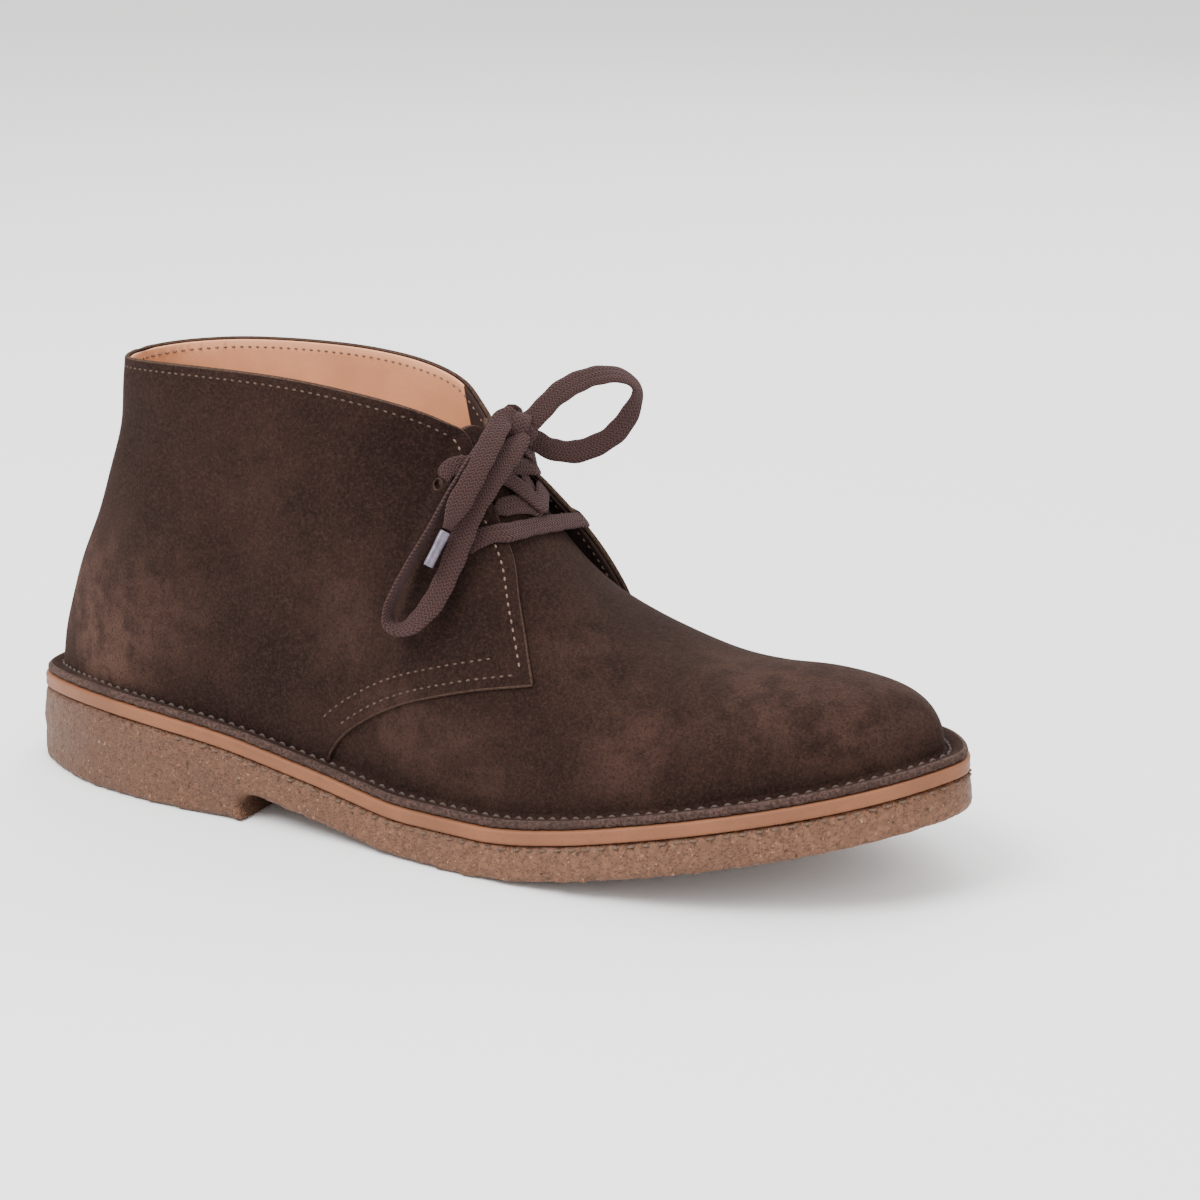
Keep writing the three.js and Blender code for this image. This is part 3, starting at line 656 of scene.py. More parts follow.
class Nodes:
    """Short hand for the nodes of one finish."""

    def __init__(self, name):
        self.material = bpy.data.materials.new(name)
        self.material.use_nodes = True
        self.tree = self.material.node_tree
        self.shader = self.tree.nodes["Principled BSDF"]
        self.place = self.tree.nodes.new("ShaderNodeTexCoord").outputs["Object"]

    def link(self, source, target):
        self.tree.links.new(source, target)

    def noise(self, scale, detail=4, rough=.5, lift=0):
        node = self.tree.nodes.new("ShaderNodeTexNoise")
        node.inputs["Scale"].default_value = scale
        node.inputs["Detail"].default_value = detail
        node.inputs["Roughness"].default_value = rough
        source = self.place
        if lift:
            move = self.tree.nodes.new("ShaderNodeMapping")
            move.inputs["Location"].default_value = (lift, lift * .7, -lift)
            self.link(source, move.inputs["Vector"])
            source = move.outputs["Vector"]
        self.link(source, node.inputs["Vector"])
        return node.outputs["Fac"]

    def cells(self, scale):
        node = self.tree.nodes.new("ShaderNodeTexVoronoi")
        node.inputs["Scale"].default_value = scale
        self.link(self.place, node.inputs["Vector"])
        return node.outputs["Distance"]

    def ramp(self, source, low, high, dark=0.0, light=1.0):
        node = self.tree.nodes.new("ShaderNodeMapRange")
        node.interpolation_type = "SMOOTHSTEP"
        for key, value in (("From Min", low), ("From Max", high), ("To Min", dark),
                           ("To Max", light)):
            node.inputs[key].default_value = value
        self.link(source, node.inputs["Value"])
        return node.outputs["Result"]

    def math(self, how, a, b=None, c=None):
        node = self.tree.nodes.new("ShaderNodeMath")
        node.operation = how
        for i, value in enumerate((a, b, c)):
            if value is None:
                continue
            if isinstance(value, (int, float)):
                node.inputs[i].default_value = value
            else:
                self.link(value, node.inputs[i])
        return node.outputs[0]

    def mix(self, share, a, b):
        node = self.tree.nodes.new("ShaderNodeMix")
        node.data_type = "RGBA"
        for key, value in ((0, share), (6, a), (7, b)):
            if isinstance(value, (int, float)):
                node.inputs[key].default_value = value
            elif isinstance(value, (tuple, list)):
                node.inputs[key].default_value = (*value[:3], 1)
            else:
                self.link(value, node.inputs[key])
        return node.outputs[2]

    def attribute(self, name):
        node = self.tree.nodes.new("ShaderNodeAttribute")
        node.attribute_name = name
        return node.outputs["Fac"]

    def bump(self, height, strength, distance, over=None):
        node = self.tree.nodes.new("ShaderNodeBump")
        node.inputs["Strength"].default_value = strength
        node.inputs["Distance"].default_value = distance
        self.link(height, node.inputs["Height"])
        if over is not None:
            self.link(over, node.inputs["Normal"])
        return node.outputs["Normal"]

    def finish(self, color, normal=None, rough=.8, specular=.3, sheen=0.0, tint=(1, 1, 1),
               sheen_rough=.5, coat=0.0):
        shader = self.shader.inputs
        if isinstance(color, (tuple, list)):
            shader["Base Color"].default_value = (*color[:3], 1)
        else:
            self.link(color, shader["Base Color"])
        if isinstance(rough, (int, float)):
            shader["Roughness"].default_value = rough
        else:
            self.link(rough, shader["Roughness"])
        shader["Specular IOR Level"].default_value = specular
        shader["Sheen Weight"].default_value = sheen
        shader["Sheen Roughness"].default_value = sheen_rough
        shader["Sheen Tint"].default_value = (*tint, 1)
        shader["Coat Weight"].default_value = coat
        if normal is not None:
            self.link(normal, shader["Normal"])
        return self.material


def finish_named(name, maker, *args):
    found = bpy.data.materials.get(name)
    return found if found else maker(name, *args)


def toned(color, share=1):
    return tuple(c * share for c in color)


def suede(name):
    colors = bpy.context.scene.boot_colors
    n = Nodes(name)
    patches = n.ramp(n.noise(26, 5, .62), .38, .66)
    clouds = n.ramp(n.noise(70, 4, .6, lift=3), .36, .68)
    color = n.mix(n.math("MULTIPLY_ADD", patches, .45, n.math("MULTIPLY_ADD", clouds, .25, .15)),
                  toned(colors.suede_dark), toned(colors.suede_mid))
    # Lighter nap at the listed spots: partly real wear, partly a painted highlight.
    uneven = n.ramp(n.noise(110, 5, .65, lift=7), .36, .62, .25, 1)
    worn_and_highlight = n.math("MULTIPLY", n.attribute("worn_and_highlight"), uneven)
    color = n.mix(n.math("MULTIPLY", worn_and_highlight, .75), color, toned(colors.suede_light))
    nap = n.noise(2600, 3, .7)
    speck = n.ramp(n.noise(1050, 5, .85, lift=11), .42, .68)
    color = n.mix(n.math("MULTIPLY", speck, .62), color,
                  n.mix(.46, color, toned(colors.suede_light)))
    color = n.mix(n.ramp(n.noise(1500, 3, .7, lift=21), .52, .34, 0, .6), color,
                  (.004, .0025, .002))
    soft = n.bump(n.noise(240, 4, .6, lift=5), .35, .0006)
    grain = n.bump(nap, .6, .00035, over=n.bump(speck, .5, .0004, over=soft))
    return n.finish(color, grain, .97, .08, sheen=.05, tint=(.8, .5, .4), sheen_rough=.45)


def lining(name, faced=False):
    """Smooth lining leather, with a dark suede facing where its attribute says so."""
    color = bpy.context.scene.boot_colors.lining
    n = Nodes(name)
    tone = n.mix(n.ramp(n.noise(40, 5, .6), .35, .7), toned(color), toned(color, .86))
    pores = n.cells(1500)
    tone = n.mix(n.ramp(pores, .12, .02, 0, .25), tone, toned(color, .55))
    grain = n.bump(n.ramp(pores, 0, .35), .25, .0002, over=n.bump(n.noise(300, 4), .2, .0005))
    rough = .52
    if faced:
        facing = n.ramp(n.attribute("facing"), -.2, .2)
        dark = toned(bpy.context.scene.boot_colors.suede_mid, .8)
        nap = n.ramp(n.noise(1700, 4, .75), .3, .7)
        tone = n.mix(facing, tone, n.mix(nap, dark, toned(dark, 2)))
        rough = n.math("MULTIPLY_ADD", facing, .42, .52)
    return n.finish(tone, grain, rough, .3)


def midsole_leather(name):
    color = bpy.context.scene.boot_colors.midsole
    n = Nodes(name)
    fibres = n.noise(420, 5, .65)
    tone = n.mix(n.ramp(n.noise(60, 4), .3, .7), toned(color), toned(color, .8))
    tone = n.mix(n.ramp(fibres, .56, .74, 0, .35), tone, toned(color, .5))
    tone = n.mix(n.ramp(n.noise(1400, 2), .62, .72, 0, .3), tone, toned(color, .35))
    grain = n.bump(fibres, .35, .0005, over=n.bump(n.noise(90, 3, lift=4), .4, .001))
    return n.finish(tone, grain, .6, .3)


def crepe(name):
    colors = bpy.context.scene.boot_colors
    n = Nodes(name)
    clouds = n.ramp(n.noise(30, 5, .6), .32, .7)
    parts = n.tree.nodes.new("ShaderNodeSeparateXYZ")
    n.link(n.place, parts.inputs[0])
    front = n.ramp(parts.outputs[0], -.1, .05)
    base = n.mix(front, toned(colors.crepe, .72), toned(colors.crepe))
    tone = n.mix(n.math("MULTIPLY", clouds, .3), base, (.05, .028, .018))
    crumbs = n.cells(520)
    small = n.cells(1150)
    pits = n.ramp(n.noise(520, 5, .72, lift=9), .6, .72)
    tone = n.mix(n.ramp(crumbs, .3, .62, 0, .45), tone, toned(colors.crepe, .45))
    tone = n.mix(n.math("MULTIPLY", pits, .75), tone, toned(colors.crepe, .22))
    light = n.ramp(n.noise(900, 3, .6, lift=15), .6, .75, 0, .55)
    tone = n.mix(light, tone, (.42, .25, .15))
    deep = n.math("SUBTRACT", n.ramp(small, 0, .55, 1, 0), n.math("MULTIPLY", pits, 1.4))
    grain = n.bump(deep, .75, .0006, over=n.bump(n.noise(160, 4, .6, lift=2), .6, .0014))
    return n.finish(tone, grain, .62, .35)


def braid(name):
    """Lace with a chevron weave that follows its UV map, in millimetres."""
    color = bpy.context.scene.boot_colors.lace
    n = Nodes(name)
    uv = n.tree.nodes.new("ShaderNodeUVMap")
    uv.uv_map = "lace"
    parts = n.tree.nodes.new("ShaderNodeSeparateXYZ")
    n.link(uv.outputs["UV"], parts.inputs[0])
    run, off = parts.outputs[0], parts.outputs[1]
    column = n.math("PINGPONG", n.math("ADD", off, 20), .9)
    slant = n.math("ADD", run, n.math("MULTIPLY", column, 1.15))
    strand = n.math("SINE", n.math("MULTIPLY", slant, 2 * math.pi / 1.15))
    groove = n.math("SINE", n.math("MULTIPLY", column, math.pi / .9))
    weave = n.math("MULTIPLY", n.math("MULTIPLY_ADD", strand, .5, .5),
                   n.math("MULTIPLY_ADD", groove, .6, .4))
    fuzz = n.noise(3200, 3, .7)
    # The grooves between the braid's strands are darkened to a third of the colour: painted shade.
    tone = n.mix(n.ramp(weave, .05, .6), toned(color, .3), toned(color))
    tone = n.mix(n.ramp(fuzz, .35, .7, 0, .35), tone, tuple(min(c * 1.7, 1) for c in color))
    grain = n.bump(weave, .8, .0005, over=n.bump(fuzz, .4, .0003))
    return n.finish(tone, grain, .92, .15, sheen=.1, tint=(.8, .55, .55))


def thread(name, color):
    n = Nodes(name)
    tone = n.mix(n.ramp(n.noise(1800, 3), .3, .7), color, toned(color, .6))
    return n.finish(tone, n.bump(n.noise(4200, 2), .4, .0002), .75, .2)


def cut_edge(name):
    n = Nodes(name)
    fibres = n.noise(1100, 5, .7)
    tone = n.mix(n.ramp(fibres, .35, .7), (.025, .0145, .012), (.085, .05, .042))
    tone = n.mix(n.ramp(n.noise(90, 4), .45, .7, 0, .5), tone, (.028, .018, .015))
    return n.finish(tone, n.bump(fibres, .8, .0006), .93, .1, sheen=.1, tint=(.7, .5, .4))


def leather_edge(name):
    """The raw cut edge of the suede, lighter than its face."""
    n = Nodes(name)
    fibres = n.noise(1500, 4, .7)
    tone = n.mix(n.ramp(fibres, .3, .7), (.026, .015, .011), (.08, .047, .033))
    return n.finish(tone, n.bump(fibres, .6, .0004), .95, .1)


def clear_film(name):
    n = Nodes(name)
    ribs = n.noise(900, 2)
    tone = n.mix(ribs, (.04, .03, .045), (.14, .115, .16))
    return n.finish(tone, n.bump(ribs, .3, .0003), .24, .5, coat=.3)


# The pieces

def places_of(line, side, off=flap_lift):
    """The line of the side view as (q, v) places."""
    return np.stack(place_at(line[:, 0], line[:, 1], side, off), -1)


def closed_loop(sides, goal, heel_count, foot_count, shared):
    """A loop of (q, v) round the heel, from the upper and the lower line of each side.

    shared is how many points of the lower lines the upper ones already have."""
    (top_l, low_l), (top_m, low_m) = sides[-1], sides[1]
    low_l, low_m = drop_to_foot(low_l), drop_to_foot(low_m)
    across = np.linspace(top_l[0][0], top_m[0][0], heel_count)[1:-1]
    heel = np.stack([across, [height_place(q, goal) for q in across]], -1)
    foot = np.linspace(low_m[-1][0], low_l[-1][0], foot_count)[1:-1]
    foot = np.stack([foot, np.zeros_like(foot)], -1)
    return np.concatenate([top_l[::-1], heel, top_m, low_m[shared:], foot,
                           low_l[shared:][::-1]])


def quarter_loop():
    sides = {}
    for side in (-1, 1):
        top = evenly(spline(edge_of(COLLAR_LINE, side), 300), 1.4)
        low = evenly(spline(edge_of(LOWER_LINE, side), 120), 1.8)
        sides[side] = (places_of(top, side), places_of(low, side))
    return closed_loop(sides, COLLAR_LINE[0]["z"] * COLLAR_HEIGHT, 46, 260, 1)


def drop_to_foot(line):
    """The line up to where it meets the foot."""
    keep = line[line[:, 1] > .012]
    last = keep[-1]
    return np.concatenate([keep, [[last[0], 0.0]]])


def height_place(q, goal):
    low, high = .3, 1.0
    for _ in range(26):
        v = (low + high) / 2
        point = face_of(np.array([q]), np.array([v]))[0]
        low, high = (v, high) if point[2] < goal else (low, v)
    return low


def eyelet_holes():
    turn = np.linspace(0, 2 * math.pi, 15)[:-1]
    ring = HOLE * np.stack([np.cos(turn), np.sin(turn)], -1)
    return [places_of(ring + [row["x"] * LENGTH, row["z"] * COLLAR_HEIGHT], side)
            for row in EYELETS for side in (-1, 1)]


def color_property(name, description, default):
    return FloatVectorProperty(name=name, description=description, subtype="COLOR", size=3,
                               default=default)


def size_property(name, description, default, low, high):
    return FloatProperty(name=name, description=description + ", in mm", default=default,
                         min=low, max=high)


class BootColors(bpy.types.PropertyGroup):
    suede_dark: color_property("Suede, dark", "Deep tone of the nap", (.0065, .0029, .0023))
    suede_mid: color_property("Suede, middle", "Main tone of the nap", (.0215, .01, .008))
    suede_light: color_property("Suede, rubbed", "Tone of rubbed nap", (.092, .048, .036))
    lining: color_property("Lining", "Tone of the lining leather", (.62, .27, .135))
    midsole: color_property("Midsole", "Tone of the midsole leather", (.2, .075, .033))
    crepe: color_property("Crepe", "Tone of the crepe rubber", (.15, .064, .032))
    lace: color_property("Lace", "Tone of the braided lace", (.045, .022, .02))
    thread: color_property("Thread", "Tone of the stitching thread", (.092, .06, .044))


class BootSizes(bpy.types.PropertyGroup):
    leather: size_property("Leather", "Thickness of the outer leather", 1.5, .8, 3)
    grain: size_property("Mesh step", "Step of the leather's mesh", 1.7, 1, 4)
    lace_width: size_property("Lace width", "Width of the flat lace", 6.4, 4, 10)
    lace_thick: size_property("Lace thickness", "Thickness of the lace", 1.4, 1, 3)
    stitch: size_property("Stitch", "Length from stitch to stitch", 2.5, 1.5, 5)
    thread: size_property("Thread", "Thickness of the thread", .6, .4, 1.5)


class BOOT_OT_stage(bpy.types.Operator):
    """Floor, soft lights and the camera at the photograph's angle"""
    bl_idname = "boot.stage"
    bl_label = "Stage"

    def execute(self, context):
        scene = context.scene
        bpy.ops.object.select_all(action="DESELECT")
        bpy.ops.mesh.primitive_plane_add(size=14, location=(0, 0, -.0004))
        floor = context.object
        floor.name = "floor"
        n = Nodes("pale floor")
        floor.data.materials.append(n.finish((.93, .93, .93), None, .9, .1))
        world = bpy.data.worlds.new("studio")
        scene.world = world
        world.use_nodes = True
        world.node_tree.nodes["Background"].inputs[0].default_value = (1, .99, .98, 1)
        world.node_tree.nodes["Background"].inputs[1].default_value = 1.35
        lights = (("key", (-.5, -1.0, 1.5), 1, 42), ("fill", (1.3, -.9, .9), 1.2, 10),
                  ("back", (.1, 1.3, 1.2), 1.4, 14), ("top", (0, 0, 1.9), 1.2, 16))
        for name, place, size, power in lights:
            data = bpy.data.lights.new(name, "AREA")
            data.size, data.energy = size, power
            lamp = bpy.data.objects.new(name, data)
            scene.collection.objects.link(lamp)
            lamp.location = place
            lamp.rotation_euler = (Vector((0, 0, .05)) - Vector(place)).to_track_quat(
                "-Z", "Y").to_euler()
        place = (np.array([150, 0, 50]) + VIEW_RIGHT * 31.12 + VIEW_UP * 12.42
                 + TO_VIEWER * VIEW_DISTANCE)
        data = bpy.data.cameras.new("camera")
        data.sensor_width, data.lens = SENSOR, LENS
        data.clip_start, data.clip_end = .02, 30
        camera = bpy.data.objects.new("camera", data)
        scene.collection.objects.link(camera)
        turn = Matrix((VIEW_RIGHT, VIEW_UP, TO_VIEWER)).transposed().to_4x4()
        turn.translation = Vector(to_row(place))
        camera.matrix_world = turn
        scene.camera = camera
        return {"FINISHED"}


class BOOT_OT_lace(bpy.types.Operator):
    """The flat lace: bars, crossing, knot, loops, ends and their aglets"""
    bl_idname = "boot.lace"
    bl_label = "Lace"

    def execute(self, context):
        sizes = context.scene.boot_sizes
        width, thick = sizes.lace_width, sizes.lace_thick
        cloth = finish_named("braided lace", braid)
        film = finish_named("clear film", clear_film)
        for name, ends in AGLETS.items():
            line = evenly(ends, .6)
            wide = np.tile(np.cross(line[1] - line[0], TO_VIEWER), (len(line), 1))
            ribbon(name + "_film", line, wide, 2.9, 2.3, film, [name], "aglet")
        for name, rows in LACE_ROUTES.items():
            points = np.array([[row["x"], row["y"], row["z"], row["roll"]] for row in rows])
            line = evenly(spline(points, len(points) * 14), 1.1)
            taper = (3, 7) if name.startswith("lace_end") else (3, 3)
            piece = ribbon(name + "_braid", line[:, :3], rolled(line[:, :3], line[:, 3]), width,
                           thick, cloth, [name], "lace", taper)
        self.knot(width, thick, cloth)
        self.strands(width, thick, cloth)
        return {"FINISHED"}

    def knot(self, width, thick, cloth):
        """A wrap of lace round the knot's middle, and the pass tucked under it."""
        centre = np.array(KNOT)
        turn = np.linspace(0, 2 * math.pi, 60)
        axis = unit(VIEW_RIGHT * .9 - VIEW_UP * .25)
        flat = unit(np.cross(axis, TO_VIEWER))
        face = np.cross(flat, axis)
        ring = centre + np.outer(np.cos(turn) * 4.4, flat) + np.outer(np.sin(turn) * 3.9, face)
        ring += np.outer(np.sin(turn * .5) * .8, axis)
        ribbon("knot_wrap", ring, np.tile(axis, (60, 1)), width * .95, thick * 1.3, cloth,
               ["lace_knot"], "lace")
        line = spline([centre - axis * 5.2 - flat * 1.2, centre - axis * 2 + face * 1.8,
                       centre + axis * 2 + face * 1.8, centre + axis * 5.2 + flat * 1.2], 24)
        ribbon("knot_pass", line, np.tile(flat, (24, 1)), width * .9, thick * 2.2, cloth,
               ["lace_knot"], "lace")

    def strands(self, width, thick, cloth):
        """The bars over the flaps and the crossing on the tongue."""
        low, high = EYELETS
        for row, rise, near, far, name in ((low, .5, 3.8, 1, "lace_lower_bar"),
                                           (high, 0, 4.5, 0, "lace_upper_bar")):
            line, wide = strand_over(row, rise, near, far)
            ribbon(name + "_braid", line, wide, width * .88, thick, cloth, [name], "lace", (4, 4))
        middle = (low["crest"] + high["crest"]) / 2
        for k, (near, far, lift) in enumerate(((low, high, 0), (high, low, 1.3))):
            line, wide = strand_under(near, far, middle, 1.2 + lift)
            ribbon(f"lace_crossing_{k + 1}", line, wide, width * .92, thick, cloth,
                   ["lace_crossing"], "lace", (4, 4))


def crest_place(share):
    q = np.linspace(TOE * .3, TOE, 4000)
    return q[np.argmin(np.abs(ring_value("top", q) - share))]


def strand_places(near, far, share):
    """Places of a strand from a lateral eyelet over the crest to a medial one."""
    crest = crest_place(share)
    (q0, v0), (q1, v1) = (
        places_of(np.array([[row["x"] * LENGTH, row["z"] * COLLAR_HEIGHT]]), side)[0]
        for row, side in ((near, -1), (far, 1)))
    part = np.linspace(0, 1, 61)
    lateral = np.stack([q0 + (crest - q0) * part, v0 + (1 - v0) * part], -1)
    medial = np.stack([TURN + q1 + (crest + q1) * -part, v1 + (1 - v1) * part], -1)
    return lateral, medial[::-1][1:]


def front_edge(z, side):
    """Where the flap's front edge is in the side view, at heights z."""
    line = spline(edge_of(COLLAR_LINE, side), 300)[::-1]
    return np.interp(z, line[:, 1], line[:, 0])


def with_normals(line, normal, step=1.1):
    """The line with its points a step apart, and the way across a lace lying on it."""
    both = evenly(np.concatenate([line, normal * 1e-6], 1), step)
    line, normal = both[:, :3], both[:, 3:] * 1e6
    return line, np.cross(smooth_rows(normal, 6), np.gradient(line, axis=0))


def strand_over(row, rise, climb_near, climb_far):
    """A strand from eyelet to eyelet: out of the hole, taut between the flaps and in again.

    The climbs are how much higher than its eyelets it goes over the flaps' edges."""
    hole_z = row["z"] * COLLAR_HEIGHT
    ways = []
    for side, climb in ((-1, climb_near), (1, climb_far)):
        edge_z = hole_z + climb
        q, v = place_at([row["x"] * LENGTH, front_edge(edge_z, side) - .4], [hole_z, edge_z],
                        side, flap_lift)
        ends = np.stack([np.mod(q, TURN), v], -1)
        ways.append(ends[0] + (ends[1] - ends[0]) * np.linspace(0, 1, 24)[:, None])
    near, far = ways[0], ways[1][::-1]
    pieces, normals = [], []
    for places, depth in ((near, np.linspace(0, 1, len(near))), (far, np.linspace(1, 0, 24))):
        q, v = places.T
        normal = normal_of(q, v)
        height = flap_lift(q, v) + .85 - 4.4 * (1 - steps(depth, -.1, .3))
        pieces.append(face_of(q, v) + normal * height[:, None])
        normals.append(normal)
    start, end = pieces[0][-1], pieces[1][0]
    share = np.linspace(0, 1, max(int(np.linalg.norm(end - start) / .5), 4))[1:-1, None]
    taut = start * (1 - share) + end * share
    taut[:, 2] += rise * np.sin(share[:, 0] * math.pi)
    line = np.concatenate([pieces[0], taut, pieces[1]])
    normal = np.concatenate([normals[0], normals[0][-1] * (1 - share) + normals[1][0] * share,
                             normals[1]])
    return with_normals(smooth_rows(line, 5), smooth_rows(normal, 8))


def strand_under(near, far, share, height):
    """A strand on the tongue, under both flaps, from eyelet to eyelet."""
    lateral, medial = strand_places(near, far, share)
    places = np.concatenate([lateral, medial])
    q, v = places.T
    near_side = face_of(*lateral.T)
    first = int(np.argmax(near_side[:, 0] > front_edge(near_side[:, 2], -1) - 2.2))
    keep = slice(first, len(q) - 4)
    normal = smooth_rows(normal_of(q, v), 8)
    line = face_of(q, v) + normal * height
    return with_normals(smooth_rows(line, 5)[keep], normal[keep])


def smooth_rows(rows, times):
    rows = rows.copy()
    for _ in range(times):
        rows[1:-1] = (rows[:-2] + 2 * rows[1:-1] + rows[2:]) / 4
    return rows


class BOOT_OT_quarters(bpy.types.Operator):
    """The quarters in one sheet round the heel, with their lining and stitches"""
    bl_idname = "boot.quarters"
    bl_label = "Quarters"

    def execute(self, context):
        sizes = context.scene.boot_sizes
        step = sizes.grain
        holes = eyelet_holes()
        leather = finish_named("brown suede", suede)
        edge = finish_named("cut leather edge", leather_edge)
        leather_sheet("quarters_suede", [quarter_loop()] + holes, step, flap_lift,
                      lambda q, v: flap_lift(q, v) - sizes.leather + .15, [leather, edge],
                      ["upper"], "suede")
        backing = leather_sheet("quarters_lining", [lining_loop()] + holes, step * 1.3,
                                lambda q, v: flap_lift(q, v) - LINING_FACE,
                                lambda q, v: flap_lift(q, v) - LINING_BACK,
                                [finish_named("quarter lining", lining, True)], ["upper"],
                                "lining_leather")
        points = np.array([v.co[:] for v in backing.data.vertices]) * 1000 - PLACE
        set_attribute(backing, "facing", points[:, 0] - 131.5 - (122 - points[:, 2]) * .2)
        self.stitches(context)
        return {"FINISHED"}

    def stitches(self, context):
        sizes, colors = context.scene.boot_sizes, context.scene.boot_colors
        yarn = finish_named("brown thread", thread, toned(colors.thread))
        pale = finish_named("pale thread", thread, toned(colors.thread, 2.2))
        for side, name in ((-1, "lateral"), (1, "medial")):
            collar = edge_of(COLLAR_LINE, side)
            low = edge_of(LOWER_LINE, side)
            rim = offset_line(spline(collar, 300), COLLAR_SEAM)
            front = rim[:, 1] < collar[8][1]
            lines = {"collar": rim[~front], "front": rim[front]}
            lines["front"] = lines["front"][lines["front"][:, 1] > low[0][1] + 3]
            lower = spline(low, 160)
            lines["lower"] = offset_line(lower, 2.6)[6:-18]
            lines["lower_second"] = offset_line(lower, 7.4)[14:-14]
            for key, line in lines.items():
                line = evenly(line, 1.2)
                q, v = place_at(line[:, 0], line[:, 1], side, flap_lift)
                if key == "collar" and side < 0:
                    q, v = self.round_heel(q, v)
                q = np.mod(q, TURN)
                path = skin(q, v, flap_lift(q, v))
                stitch_row(f"stitches_{name}_{key}", smooth_rows(path, 3), normal_of(q, v),
                           sizes.stitch, .62, sizes.thread, pale if key == "front" else yarn)
                if key in ("collar", "front"):
                    path = skin(q, v, flap_lift(q, v) - LINING_BACK)
                    stitch_row(f"stitches_{name}_{key}_inside", smooth_rows(path, 3),
                               -normal_of(q, v), sizes.stitch, .62, sizes.thread, pale)

    def round_heel(self, q, v):
        """The collar's row of stitches goes on round the back of the heel."""
        across = np.linspace(-q[0], q[0], 50)[:-1]
        goal = COLLAR_LINE[0]["z"] * COLLAR_HEIGHT - COLLAR_SEAM
        return (np.concatenate([across, q]),
                np.concatenate([[height_place(a, goal) for a in across], v]))


def offset_line(line, inwards):
    """A side-view line moved to its right-hand side, which is into the quarter."""
    line = evenly(line, .8)
    way = unit(np.gradient(line, axis=0))
    return line + np.stack([way[:, 1], -way[:, 0]], -1) * inwards


def lining_loop():
    """The lining's outline: inside the quarter's, and short of the vamp's lap."""
    sides = {}
    for side in (-1, 1):
        top = evenly(offset_line(spline(edge_of(COLLAR_LINE, side), 300), .5), 1.8)
        top = top[top[:, 1] > 66]
        low = evenly(offset_line(spline(edge_of(LOWER_LINE, side), 160), LAP + .5), 2.2)
        low = low[low[:, 0] < top[-1][0] - 4]
        sides[side] = (places_of(top, side), places_of(low, side))
    return closed_loop(sides, COLLAR_LINE[0]["z"] * COLLAR_HEIGHT - .5, 36, 200, 0)


def vamp_loop():
    """The vamp's outline in (u, w): the foot round the toe, both laps and the tongue."""
    lines = {}
    for side in (-1, 1):
        tongue = evenly(spline(edge_of(COLLAR_LINE, -1), 300), 1.6) - [TONGUE_TUCK, 0]
        tongue = tongue[(tongue[:, 1] < TONGUE_HEIGHT) & (tongue[:, 1] > 63)]
        low = evenly(offset_line(spline(edge_of(LOWER_LINE, -1), 160), LAP), 2)
        low = low[low[:, 0] < tongue[-1][0] - 3]
        parts = []
        for line in (tongue, low):
            q, v = place_at(line[:, 0], line[:, 1], side)
            parts.append(np.stack([np.abs(q), (1 - v) * side], -1))
        low = parts[1][np.abs(parts[1][:, 1]) < .988]
        foot = [[low[-1][0], float(side)]]
        lines[side] = np.concatenate([parts[0], low, foot])
    lateral, medial = lines[-1], lines[1]
    foot_l = np.linspace(lateral[-1][0], TOE, 120)[1:]
    foot_m = np.linspace(TOE, medial[-1][0], 120)[:-1]
    toe = np.linspace(-1, 1, 121)[1:-1]
    crest = crest_place(.513)
    top = np.linspace(medial[0][1], lateral[0][1], 30)[1:-1]
    share = np.where(top > 0, top / medial[0][1], top / lateral[0][1])
    top_u = crest + share * (np.where(top > 0, medial[0][0], lateral[0][0]) - crest)
    return np.concatenate([
        lateral, np.stack([foot_l, np.full_like(foot_l, -1)], -1),
        np.stack([np.full_like(toe, float(TOE)), toe], -1),
        np.stack([foot_m, np.ones_like(foot_m)], -1), medial[::-1],
        np.stack([top_u, top], -1)])


class BOOT_OT_vamp(bpy.types.Operator):
    """The vamp with its tongue, one sheet from toe to tongue's top"""
    bl_idname = "boot.vamp"
    bl_label = "Vamp and tongue"

    def execute(self, context):
        leather = finish_named("brown suede", suede)
        edge = finish_named("cut leather edge", leather_edge)
        leather_sheet("vamp_suede", [vamp_loop()], context.scene.boot_sizes.grain,
                      lambda q, v: np.zeros_like(q), lambda q, v: np.full_like(q, -WALL),
                      [leather, edge], ["upper", "tongue"], "suede", over_crest, float(TOE))
        return {"FINISHED"}


